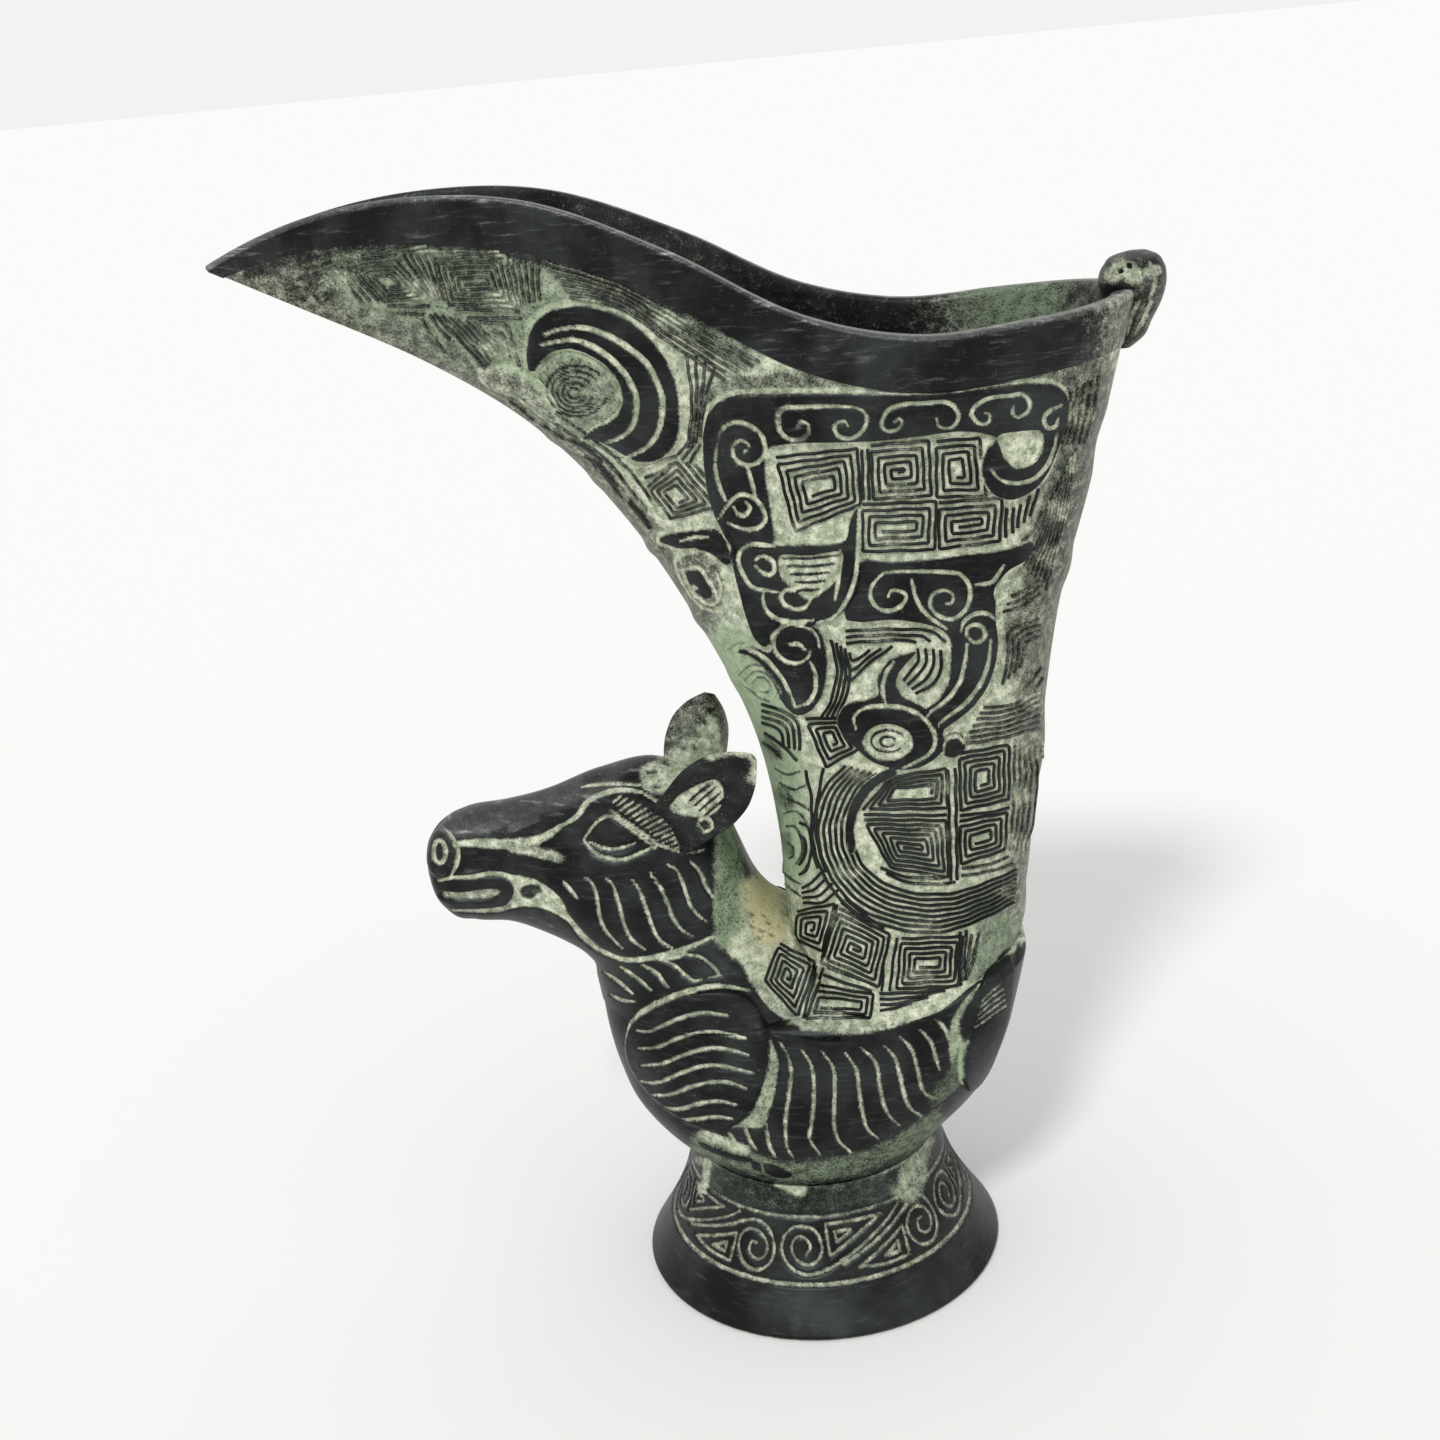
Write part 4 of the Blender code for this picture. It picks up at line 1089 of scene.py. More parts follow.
THUNDER_PATTERN = (
    ThunderGroup(0.03, 6.4, (
        "779,459 855,451 858,503 797,528", "873,447 927,443 929,494 875,497",
        "938,443 978,440 984,494 938,495", "865,506 934,503 932,548 865,550",
        "941,504 1000,500 997,540 941,547",
    ), (
        ("862,450 863,500", "868,449 869,500", 2), ("1006,508 1005,537", "1013,507 1012,533", 2),
        ("1020,504 1017,528", "1038,488 1030,516", 3),
        ("846,631 890,629 930,631 945,641", "846,643 875,641 905,640 916,642", 3),
        ("841,650 849,680 868,664 892,646", "850,652 852,660 862,656 870,650", 3),
        ("831,640 837,670 831,700 822,716", "845,648 850,676 845,698 838,716", 4),
        ("940,650 941,668 931,685 915,693", "918,648 918,660 912,670 904,680", 4),
    )),
    ThunderGroup(0.02, 5.1, (
        "867,808 892,778 944,770 945,807", "961,755 1007,747 1007,798 962,808",
        "867,821 944,822 946,875 892,866", "961,822 1005,814 1003,849 962,862",
        "841,911 888,935 877,984 824,961", "903,940 960,938 957,984 899,987",
        "799,912 834,905 822,949 797,938", "780,946 814,963 797,1014 766,980",
        "820,986 872,995 868,1017 808,1018", "808,720 840,719 857,748 827,765",
    ), (
        ("886,873 905,881 930,884 955,882", "880,868 905,876 930,878 945,877", 2),
        ("842,902 856,914 872,926", "846,898 862,912 884,928", 2),
        ("960,932 958,960 960,986", "966,930 964,958 966,980", 2),
        ("948,770 949,820 951,880", "955,768 956,820 957,880", 2),
        ("864,814 905,815 946,815", "864,814 905,815 946,815", 1),
        ("960,815 984,813 1008,808", "960,815 984,813 1008,808", 1),
        ("890,776 870,789 857,812 853,836 860,860 876,877 898,889 927,894 957,892 987,882 1016,870",
         "846,766 828,783 817,808 813,836 821,868 838,896 864,917 905,930 945,931 985,917 1014,902", 8),
        ("838,905 822,958", "840,914 828,950", 1), ("817,966 803,1018", "824,968 812,1000", 2),
        ("889,937 884,962 882,990", "897,938 893,962 890,990", 2),
        ("828,967 876,985", "824,975 872,991", 2),
        ("880,993 920,992 962,984", "880,1011 894,1008 912,1003", 4),
        ("762,704 788,713 799,726 800,750", "763,722 776,727 783,735 784,746", 4),
        ("765,733 780,742 798,760", "764,743 772,748 782,758", 2),
        ("806,770 812,800 812,840 818,868", "824,768 818,800 817,836 826,872", 2),
        ("800,822 810,828 813,848 808,868 800,874", "800,834 805,838 806,848 804,858 800,864", 2),
        ("822,872 812,882 803,888", "838,890 822,902 804,903", 4),
    )),
    ThunderGroup(0.26, 6.0, (), (
        ("1050,500 1042,532 1024,566", "1075,448 1064,520 1046,590", 7),
        ("1003,612 1022,606 1040,594", "1012,596 1026,590 1042,578", 3),
        ("1002,684 1008,655 1008,634 1022,625 1039,619", "1019,668 1024,654 1024,646 1030,640 1039,636", 4),
        ("1022,690 1032,680 1041,668", "1034,690 1038,684 1042,678", 2),
        ("1070,392 1068,420 1062,444", "1098,376 1094,410 1084,444", 5),
        ("1046,500 1034,528 1012,552", "1050,520 1038,546 1022,560", 3),
        ("962,868 985,865 1008,857", "962,875 985,872 1012,864", 2),
        ("983,707 1010,705 1039,692", "962,744 1000,738 1039,728", 7),
        ("1014,745 1013,800 1010,850", "1042,742 1042,800 1030,850", 6),
        ("964,936 962,960 958,985", "978,932 974,955 966,978", 3),
    )),
    ThunderGroup(0.27, 5.4, (
        "308,288 323,273 338,288 323,303", "354,268 396,262 425,296 385,300",
        "438,260 503,257 513,304 451,303", "650,487 677,464 714,506 672,517",
    ), (
        ("347,267 379,301", "335,268 362,302", 3), ("403,254 433,298", "432,256 446,300", 5),
        ("511,258 520,306", "538,262 539,300", 5), ("354,261 396,255", "362,255 398,249", 2),
        ("402,249 440,245 480,246", "408,252 440,251 500,252", 2),
        ("456,309 520,311", "468,318 522,318", 2),
        ("434,314 462,342 486,368", "474,322 490,338 500,352", 6),
        ("478,322 506,325 512,342 520,366", "493,330 502,333 506,346 510,358", 2),
        ("422,318 431,334 446,352", "430,314 438,326 450,340", 2),
        ("388,306 430,306", "392,313 424,314", 2), ("284,286 308,274", "290,298 306,300", 3),
        ("304,270 330,262", "312,276 336,266", 2),
        ("546,262 620,286 690,324 760,362", "570,297 620,308 668,341 728,382", 6),
        ("640,470 660,462 676,456", "646,478 660,472 672,464", 2),
        ("686,352 692,400 688,448", "716,364 706,395 700,436", 4),
        ("686,462 716,498", "695,464 719,492", 2), ("676,456 692,438", "690,462 701,444", 3),
        ("540,424 580,450 610,482 640,520", "556,412 600,444 630,470 652,500", 3),
        ("486,388 512,402 534,420", "478,394 500,406 522,424", 2),
    )),
)


def square_spiral(corners: np.ndarray, pitch: float, corner: float = 1.3,
                  last_turn: float = 0.4) -> np.ndarray:
    """A square spiral that fills a cell.

    Args:
        corners: The cell's four corners, in order, in pixels.
        pitch: Distance between its turns.
        corner: How far its corners are cut off.
        last_turn: Share of the pitch that has to be free for one more turn.

    Returns:
        Points from the outer end to the middle.
    """
    a, b, c, d = corners
    across = pitch / ((np.linalg.norm(b - a) + np.linalg.norm(c - d)) / 2)
    down = pitch / ((np.linalg.norm(d - a) + np.linalg.norm(c - b)) / 2)
    left, right, top, bottom = 0.0, 1.0, 0.0, 1.0
    turns = [(left, top)]
    while right - left > last_turn * across and bottom - top > last_turn * down:
        turns += [(right, top), (right, bottom), (left, bottom)]
        top += down
        turns.append((left, top))
        left, right, bottom = left + across, right - across, bottom - down
    flat = [(1 - v) * ((1 - u) * a + u * b) + v * ((1 - u) * d + u * c) for u, v in turns[:-1]]
    path = [flat[0]]
    for before, here, after in zip(flat, flat[1:], flat[2:]):
        for other in (before, after):
            run = other - here
            path.append(here + run * min(0.45, corner / max(np.linalg.norm(run), TINY)))
    path.append(flat[-1])
    parts = [flowing(np.array(pair), step=3.0)[:-1] for pair in zip(path, path[1:])]
    return np.vstack(parts + [path[-1:]])


class HornMesh(NamedTuple):
    """How finely a part of the horn is meshed, with even steps round it at one height."""

    label: str
    around: int
    rows: int
    even_height: float


class HornPart(Enum):
    """The two parts of the horn's wall."""

    LOWER = HornMesh("lower", 300, 260, 95.0)
    UPPER = HornMesh("upper", 390, 200, 150.0)


@dataclass(frozen=True)
class CarvedHorn:
    """The horn's wall in near and far halves, in lower and upper parts, carved in low relief."""

    split: float = 118.0
    sunk: float = 1.5
    ground: float = 0.84
    inside: float = 0.25
    fine_turns: int = 2001
    inner_steps: int = 10
    fill: float = 1.07
    wobble: float = 0.4
    flare: float = 1.9
    flare_height: float = 7.0
    flare_under: float = 0.3
    flare_fade: tuple[float, float] = (22.0, 36.0)
    flare_lost: float = 0.6

    def turns(self, part: HornPart) -> np.ndarray:
        """Spread turns with even steps along the skin, at the part's own height.

        Args:
            part: The part of the horn.

        Returns:
            Turns from front to back on the near side.
        """
        mesh = part.value
        fine = np.linspace(0.0, math.pi, self.fine_turns)
        ring = FORMS.horn().skin(fine, np.full(self.fine_turns, mesh.even_height))
        run = np.concatenate([[0.0], np.cumsum(np.linalg.norm(np.diff(ring, axis=0), axis=1))])
        return 2 * math.pi - np.interp(np.linspace(0.0, run[-1], mesh.around), run, fine)

    def grid(self, part: HornPart) -> np.ndarray:
        """Points of the plain skin on the near side.

        Args:
            part: The part of the horn.

        Returns:
            Rows of points going up, each from front to back.
        """
        horn, turn, upper = FORMS.horn(), self.turns(part), part is HornPart.UPPER
        level = np.full(len(turn), self.split)
        low = level if upper else horn.height_on(FORMS.saddle_line(), turn) - self.sunk
        high = horn.height_on(FORMS.band_line(), turn) if upper else level
        z = low + (high - low) * np.linspace(0.0, 1.0, part.value.rows)[:, None]
        x = horn.skin(turn, z)[..., 0]
        above = z - FORMS.saddle_line()(x)
        flare = self.flare * (1 - soft_step(0.0, self.flare_height, above))
        flare *= soft_step(-self.sunk, self.flare_under, above)
        return horn.skin(turn, z, -flare * (1 - self.flare_lost * soft_step(*self.flare_fade, x)))

    def swell(self, relief: Relief) -> None:
        """Swell the ground under the great horn, its boss, the scroll's eye and the outline's lumps.

        Args:
            relief: The skin to swell.
        """
        for centre, radii, rise in (
                ((598, 385), (96, 92), 1.1), ((582, 388), (44, 42), 1.0), ((888, 740), (30, 24), 0.6),
                ((925, 675), (34, 36), 0.4), ((1018, 449), (30, 26), 0.4), ((1096, 440), (24, 40), -0.5),
                ((1062, 560), (16, 34), 0.7), ((1046, 752), (18, 60), 1.0), ((1020, 905), (14, 34), 0.7),
                ((505, 386), (26, 14), 0.6), ((560, 432), (20, 16), 0.5), ((604, 476), (20, 16), 0.5),
                ((655, 546), (18, 14), 0.5), ((694, 622), (16, 20), 0.4), ((745, 672), (24, 26), 0.6),
                ((798, 842), (14, 30), 0.5)):
            relief.mound(centre, radii, rise)

    def draw(self, relief: Relief) -> None:
        """Carve the plates, scrolls and stains of the horn's side.

        Args:
            relief: The skin to draw on.
        """
        self.draw_stains(relief)
        self.draw_spout_beast(relief)
        self.draw_upper_dragon(relief)
        self.draw_lower_dragon(relief)

    def draw_stains(self, relief: Relief) -> None:
        """Patina of the ground: darker on the spout and the back, green down the front. Part of the
        dark along the spout's lower edge and down the back flank is painted shade.

        Args:
            relief: The skin to draw on.
        """
        relief.stain("270,285 400,300 500,320 580,380", 160, patina=0.56, green=0.55)
        relief.stain("300,262 420,240 540,256 640,296 740,352", 34, patina=0.45, green=0.55)
        relief.stain("705,398 760,384 860,380 940,380 1045,374", 22, patina=0.4, green=0.3)
        # Band along the spout's lower edge: its own greener patina and rubbed wear, darkened as painted shade
        # where the edge turns under
        relief.stain(
            "215,275 330,318 450,365 540,430 620,510 680,590 730,670", 40, patina=0.42, green=0.3, wear=0.2)
        relief.stain("205,270 250,273 300,277", 46, patina=0.38, wear=0.22, green=0.2)
        relief.stain(
            "250,272 330,250 420,240 494,248 575,268 646,293 696,315 760,344", 14, patina=0.2, green=0.3)
        # Darker ground down the back flank: its own olive-grey crust, darkened further as painted shade on
        # the side turned from the key light
        relief.stain("1084,380 1078,460 1056,560 1036,640", 66, patina=0.36, green=0.2)
        relief.stain("1042,620 1044,680 1046,760 1038,840 1030,920", 56, patina=0.42)
        relief.stain("735,650 762,700 778,760 785,820 790,860", 56, patina=0.95, green=0.64)
        for spot, width, patina in (
                ("768,742 776,752", 18, 0.5), ("782,792 788,802", 18, 0.5), ("786,838 790,850", 14, 0.5),
                ("752,690 764,700", 14, 0.95), ("770,770 780,776", 14, 0.95),
                ("784,818 790,822", 12, 0.95)):
            relief.stain(spot, width, patina=patina)
        relief.grooves(
            "776,768 788,774 800,771", "780,782 794,789 806,785", "786,798 800,803 810,810",
            "785,813 797,811 807,822 812,842 810,860 802,873", "787,826 797,826 804,838 804,853 797,864",
            "790,842 796,846 796,855 790,858", "784,872 794,880 802,884", "786,884 796,892 802,896",
            width=3.2, deep=-0.28, patina=0.3, green=0.6)
        relief.stain("985,910 1000,940 985,965", 44, patina=0.56, green=0.6)
        draw_crook(relief)
        relief.plate(SADDLE_EDGE + " 1030,1080 720,1080 720,960", rise=0.0, edge=3.0, patina=0.08)

    def draw_spout_beast(self, relief: Relief) -> None:
        """The great C-shaped horn on the spout, its boss, and the brow and eye under it.

        Args:
            relief: The skin to draw on.
        """
        relief.plate(
            "530,368 528,347 533,326 547,312 564,307 585,305 606,309 627,317 647,333 665,354 675,375 "
            "680,395 681,420 678,440 668,454 654,461 640,461 628,455 612,444 596,437 582,438 596,425 "
            "609,418 620,409 624,395 617,375 600,359 578,350 557,350 546,357 540,367", rise=0.7)
        relief.groove(
            "529,368 526,346 531,324 546,309 564,303 585,301 607,305 629,313 644,324", width=4.5, deep=0.1,
            patina=1.0)
        relief.grooves(
            "547,333 561,328 585,326 609,333 633,347 651,364 661,385 665,402 661,427 651,444 633,454 "
            "620,458", "543,343 557,340 578,338 602,347 623,364 635,382 640,399 637,420 627,433 609,440",
            "540,367 557,352 578,350 600,359 617,375 624,395 620,409 609,418 595,425 582,437", width=5.0)
        relief.stain("566,388 594,388", 52, patina=0.5, green=0.45)
        for size in (5, 10, 15, 20, 25):
            relief.cut(oval((580, 388), (1.25 * size, size), 0.3, 5.6), width=2.8, deep=0.2, patina=0.16)
        relief.plate(
            "482,372 500,368 525,378 548,400 558,420 540,410 515,393 490,384", rise=0.5, patina=0.5)
        relief.grooves("486,366 508,364 530,374 552,394 566,420", width=4.0, patina=0.9)
        relief.plate(
            "661,538 675,531 695,529 712,527 722,530 732,548 735,560 727,564 712,553 695,548 678,547",
            rise=0.6, patina=0.1)
        relief.plate(
            "678,562 692,552 706,551 718,562 726,582 724,602 712,608 698,600 686,584", rise=0.5,
            patina=0.42)
        relief.plate("687,572 700,570 708,581 714,593 708,598 698,592 690,581", rise=-0.3, patina=0.02)
        relief.grooves(
            "684,568 700,566 709,577 717,590 719,599",
            "684,568 689,583 697,594 706,601 716,603 721,596 722,584 717,570", "692,590 694,586 698,588",
            "682,540 695,536 710,536", width=3.0, deep=0.2, patina=0.85)
        relief.grooves(
            "572,438 588,446 603,459", "586,455 603,466 618,484", "596,446 612,460 624,474",
            "630,502 641,514 650,527", width=6.0, deep=-0.4, patina=0.12)
        relief.grooves(
            "578,432 598,444 616,462 632,482", "640,500 652,514 664,520", width=3.4, deep=0.2, patina=0.9)
        relief.groove("722,519 731,535 736,552 733,568", width=4.4)
        relief.plate(
            "655,610 668,622 690,650 702,668 712,664 700,640 680,612 668,604", rise=0.4, patina=0.45)

    def draw_upper_dragon(self, relief: Relief) -> None:
        """The dragon's frame under the lip, with its scrolls and hooked tail.

        Args:
            relief: The skin to draw on.
        """
        relief.plate(
            "722,526 712,503 706,472 704,440 707,418 716,404 732,396 760,393 860,393 920,393 960,390 "
            "1000,385 1030,383 1052,384 1064,394 1066,410 1062,430 1054,452 1044,474 1030,490 1010,499 "
            "992,494 982,480 980,463 986,447 992,436 960,431 920,436 873,441 800,443 772,447 767,458 "
            "768,480 772,505 776,537 770,545 745,543 733,545",
            hole="999,434 1036,430 1040,440 1037,452 1028,463 1014,466 1004,458 999,446")
        relief.grooves(
            "717,458 720,440 725,427 737,421 751,424 762,433 767,447 763,458 751,464 740,460 735,453 "
            "735,445 740,439 748,441 751,447 746,450", "717,458 718,472 722,486 728,499",
            "749,465 753,479 757,494",
            "721,517 730,503 742,493 755,496 764,506 767,519 758,527 742,526 730,521",
            "748,500 752,507 746,514 739,511 736,505",
            "855,406 864,411 867,420 862,431 852,437 841,436 835,429 837,422 845,420 848,425",
            "798,427 803,420 809,424 809,433 801,438 791,438 782,431 779,418 783,408 800,406 830,405 "
            "855,406",
            "894,421 899,417 902,422 897,428 888,430 882,425 884,415 891,407 906,403 925,402 945,401 "
            "955,408 957,418 951,426 943,427 937,424 936,417",
            "983,412 988,413 988,419 983,423 976,421 970,413 974,405 983,399 993,396 1010,394 1020,393 "
            "1027,400 1027,408 1022,413 1015,416 1010,411 1012,405",
            "1058,404 1049,408 1043,413 1041,420 1046,427 1053,424 1055,417",
            "1054,432 1050,450 1043,465 1030,478 1012,482 998,478 989,468")
        relief.groove(
            "704,412 712,402 724,395 745,391 800,390 860,389 900,391 940,390 970,387 1000,382 1034,380",
            width=4.0, deep=0.25)

    def draw_lower_dragon(self, relief: Relief) -> None:
        """The dragon's body below the frame: curls, hook, sweeping band and the scroll round a boss.

        Args:
            relief: The skin to draw on.
        """
        relief.plate(
            "733,545 748,541 776,543 808,543 843,540 850,520 858,506 861,530 861,560 859,582 850,602 "
            "838,617 820,623 800,625 785,622 770,645 757,637 748,615 741,590 735,566",
            hole="782,555 809,555 841,551 841,566 837,578 823,591 809,597 798,589 784,576")
        relief.plate(
            "858,562 891,560 927,558 963,553 999,549 1028,540 1030,548 1022,560 1006,570 997,582 994,600 "
            "994,620 996,640 993,664 984,688 968,709 946,726 936,733 925,722 922,708 937,697 946,680 "
            "949,655 948,638 938,628 918,622 891,619 858,621 845,612")
        relief.plate(
            "838,722 842,708 852,700 868,697 878,692 877,680 881,668 890,658 902,652 916,650 908,660 "
            "899,672 897,684 903,694 914,700 925,706 934,718 942,732 943,745 936,756 922,765 905,769 "
            "890,767 872,760 858,748 846,736",
            hole="864,740 870,729 882,723 896,724 907,730 912,740 908,750 897,756 882,757 870,751")
        relief.plate(
            "776,624 800,619 818,626 826,640 829,660 827,682 822,698 812,710 800,714 790,707 783,697 "
            "776,680 765,664 752,654 740,650 748,644 762,646 772,650 774,640")
        relief.plate("941,752 940,741 945,733 955,730 963,736 964,747 957,755 948,757", rise=0.8)
        relief.groove("942,752 943,741 949,735 957,735 962,741", width=4.0)
        relief.groove("936,757 948,761 960,758 968,748 967,736 958,728 946,729", width=3.4, deep=0.0)
        relief.plate(
            "893,766 880,771 862,785 850,806 846,830 850,852 857,848 856,824 864,803 878,785 897,774",
            rise=0.6)
        relief.grooves(
            "776,544 758,542 746,546 741,553 741,562 746,573 753,584 764,588 780,590",
            "758,558 762,555 768,555 775,560 776,569 771,573 762,569 758,564", "841,549 840,573 836,598",
            "859,508 858,558 855,580 846,601 834,616 819,621",
            "766,588 765,597 769,609 780,617 798,620 815,618",
            "812,598 806,606 796,607 786,602 783,594 788,588 796,589",
            "884,571 873,583 871,596 879,607 891,609 902,603 906,594 898,589 891,589 888,595",
            "884,571 900,570 930,570 949,571 959,573 967,583 968,596 963,609 952,617 941,616 932,609 "
            "929,600 934,591 945,589 952,594 950,601 945,602", "911,578 916,598 927,614 945,627",
            "974,583 990,580 1001,564",
            "995,601 993,591 999,580 1008,576 1017,578 1021,585 1019,594 1011,596 1010,590",
            "959,630 963,619 974,612 985,612 994,619",
            "965,634 972,641 979,639 983,632 979,625 972,623 965,627 965,634",
            "965,642 963,660 957,682 943,700 925,712", "988,638 986,660 978,682 962,703 946,715 937,722",
            "894,660 886,672 883,688 886,702",
            "857,727 855,715 866,706 882,704 903,706 922,715 931,728 934,741 928,752 915,760 903,766",
            "821,645 818,634 809,625 794,621 782,627 776,637 778,650 788,659 800,661 809,656 812,650",
            "792,642 800,642 807,648", "812,660 817,672 817,688 811,700 798,705",
            "728,651 737,645 749,646 765,654 777,666 788,682 795,697 797,704")
        relief.hatch(
            "784,558 812,558 839,555", "798,589 808,590 820,589", 5, width=3.2, deep=-0.25, patina=0.1)
        relief.grooves(
            "742,673 752,664 765,666 777,676 784,688 783,697",
            "748,678 756,670 765,672 773,680 778,690 776,697",
            "754,682 760,676 767,679 771,686 768,692 760,690", "746,684 752,690 760,697 770,701", width=3.0,
            deep=-0.22, patina=0.4, green=0.5)
        for size in (5, 11):
            relief.cut(oval((888, 740), (1.5 * size, size), 0.6, 5.9), width=3.0, deep=-0.2, patina=0.15)

    def thunder_lines(self) -> list[tuple[float, np.ndarray]]:
        """Lines of the thunder pattern: square spirals in cells, and rows of bars.

        Returns:
            The patina and the points, in pixels, of each raised line.
        """
        lines = []
        for group in THUNDER_PATTERN:
            for cell in group.cells:
                corners = drawn(cell)
                middle = corners.mean(0)
                filled = middle + (corners - middle) * self.fill
                lines.append((group.patina, square_spiral(filled, group.pitch)))
            for first, last, count in group.bars:
                lines += [(group.patina, line) for line in between(first, last, count)]
        for _, line in lines:
            across, down = line.T.copy()
            # Waves of some 25 to 60 pixels, so that no line is dead straight
            sway = np.sin(0.23 * down + 0.11 * across), np.sin(0.19 * across - 0.13 * down)
            line += self.wobble * np.stack(sway, axis=1)
        return lines

    def build(self, bronze: bpy.types.Material, grounds: list[np.ndarray]) -> None:
        """Make both sides of the horn and the raised lines on them.

        Args:
            bronze: Their finish.
            grounds: Skins of other pieces, in rows of points, on which some lines run out.
        """
        grounds = list(grounds)
        for part in HornPart:
            grid = self.grid(part)
            outward = outward_of(grid, around=False)
            relief = Relief(VIEW.pixels(grid), self.ground)
            self.swell(relief)
            grounds.append(relief.carved(grid, outward))
            self.draw(relief)
            skin = relief.carved(grid, outward)
            skin[:, (0, -1), 1] = 0.0
            loft = Loft(self.inside)
            loft.add(skin, relief.marks())
            loft.add(self.inner_rows(part))
            for side in Side:
                piece = loft.piece(f"horn_{part.value.label}_{side.value}", bronze, around=False,
                                   looped=True, mirrored=side is Side.FAR)
                dress(piece, "horn_bronze", "horn_cup")
        lines = ThunderLines(grounds, self.thunder_lines())
        for side in Side:
            piece = lines.build(f"thunder_lines_{side.value}", bronze, side)
            dress(piece, "horn_bronze")

    def inner_rows(self, part: HornPart) -> np.ndarray:
        """Points of the inner wall.

        Args:
            part: The part of the horn.

        Returns:
            Rows of points going down.
        """
        horn, turn, wall = FORMS.horn(), self.turns(part), FORMS.horn_wall
        high = low = np.full(len(turn), self.split)
        if part is HornPart.UPPER:
            high = horn.height_on(FORMS.band_line(), turn, wall)
        else:
            low = np.full(len(turn), FORMS.horn_seat)
        shares = np.arange(self.inner_steps + 1)[:, None]
        return horn.skin(turn, high + (low - high) * shares / self.inner_steps, wall)


class PathPoint(NamedTuple):
    """A point of a raised line: its place on the skin, the way square to it there, and its crust."""

    place: np.ndarray
    square: np.ndarray
    crust: float


@dataclass
class ThunderLines:
    """Raised lines swept by Geometry Nodes along paths that lie on the horn's skin."""

    skins: list[np.ndarray]
    lines: list[tuple[float, np.ndarray]]
    base_width: float = 0.54
    top_width: float = 0.38
    height: float = 0.52
    sunk: float = 0.2
    faded: float = 0.3
    fade_range: tuple[float, float] = (0.25, 0.9)
    fewest_points: int = 3

    def __post_init__(self) -> None:
        """Find where each line, seen from the camera, lies on the skins."""
        trees = []
        for grid in self.skins:
            index = np.arange(grid[..., 0].size).reshape(grid.shape[:2])
            quads = np.stack([index[:-1, :-1], index[:-1, 1:], index[1:, 1:], index[1:, :-1]], axis=-1)
            trees.append(BVHTree.FromPolygons(grid.reshape(-1, 3).tolist(),
                                              quads.reshape(-1, 4).tolist()))
        traced = [self.trace(trees, patina, line) for patina, line in self.lines]
        self.paths: list[list[PathPoint]] = [path for path in traced if len(path) >= self.fewest_points]

    def trace(self, trees: list[BVHTree], patina: float, line: np.ndarray) -> list[PathPoint]:
        """Lay a line on the skins, and let it fade into crust in places.

        Args:
            trees: The skins' search trees.
            patina: The line's own patina.
            line: Its points, in pixels.

        Returns:
            Those of its points that fall on a skin.
        """
        path = []
        for pixel in line:
            across, down = pixel
            # Waves of some 80 to 200 pixels set where crust covers the lines
            waves = math.sin(0.045 * across - 0.06 * down) * math.sin(0.07 * down + 0.03 * across)
            crust = patina + self.faded * float(soft_step(*self.fade_range, waves))
            ray = VIEW.sight(pixel)
            hits = [tree.ray_cast(VIEW.place, ray.tolist()) for tree in trees]
            hits = [hit for hit in hits if hit[0] is not None]
            if hits:
                place, square, _, _ = min(hits, key=lambda hit: hit[3])
                square = np.array(square)
                square *= -1.0 if square @ ray > 0 else 1.0
                path.append(PathPoint(np.array(place), square, crust))
        return path

    def sweep_tree(self, material: bpy.types.Material) -> bpy.types.NodeTree:
        """A tree that sweeps a low ridge along edges, leaning on the skin's own direction.

        Args:
            material: Finish of the ridges.

        Returns:
            The tree, with inputs for the ridge's sizes in metres.
        """
        tree = bpy.data.node_groups.new("raised_line", "GeometryNodeTree")
        face = tree.interface
        face.new_socket("Paths", in_out="INPUT", socket_type="NodeSocketGeometry")
        for name in ("Base width", "Top width", "Height", "Sunk"):
            face.new_socket(name, in_out="INPUT", socket_type="NodeSocketFloat")
        face.new_socket("Ridges", in_out="OUTPUT", socket_type="NodeSocketGeometry")
        given = add_node(tree, "NodeGroupInput")
        curve = add_node(tree, "GeometryNodeMeshToCurve", {"Mesh": given["Paths"]})[0]
        square = add_node(tree, "GeometryNodeInputNamedAttribute", {"Name": "square_to_skin"},
                          data_type="FLOAT_VECTOR")[0]
        curve = add_node(tree, "GeometryNodeSetCurveNormal", {"Curve": curve, "Normal": square},
                         mode="FREE")[0]
        ridge = add_node(tree, "GeometryNodeCurvePrimitiveQuadrilateral",
                         {"Height": given["Height"], "Bottom Width": given["Base width"],
                          "Top Width": given["Top width"], "Offset": 0.0}, mode="TRAPEZOID")[0]
        half = add_node(tree, MATHS, {0: given["Height"], 1: 0.5}, operation="MULTIPLY")[0]
        lift = add_node(tree, MATHS, {0: half, 1: given["Sunk"]}, operation="SUBTRACT")[0]
        shift = add_node(tree, "ShaderNodeCombineXYZ", {"X": lift})[0]
        ridge = add_node(tree, "GeometryNodeTransform", {"Geometry": ridge, "Translation": shift,
                                                         "Rotation": (0.0, 0.0, -math.pi / 2)})[0]
        swept = add_node(tree, "GeometryNodeCurveToMesh",
                         {"Curve": curve, "Profile Curve": ridge, "Fill Caps": True})[0]
        real = add_node(tree, "GeometryNodeRealizeInstances", {"Geometry": swept})[0]
        done = add_node(tree, "GeometryNodeSetMaterial", {"Geometry": real, "Material": material})[0]
        add_node(tree, "NodeGroupOutput", {"Ridges": done})
        return tree

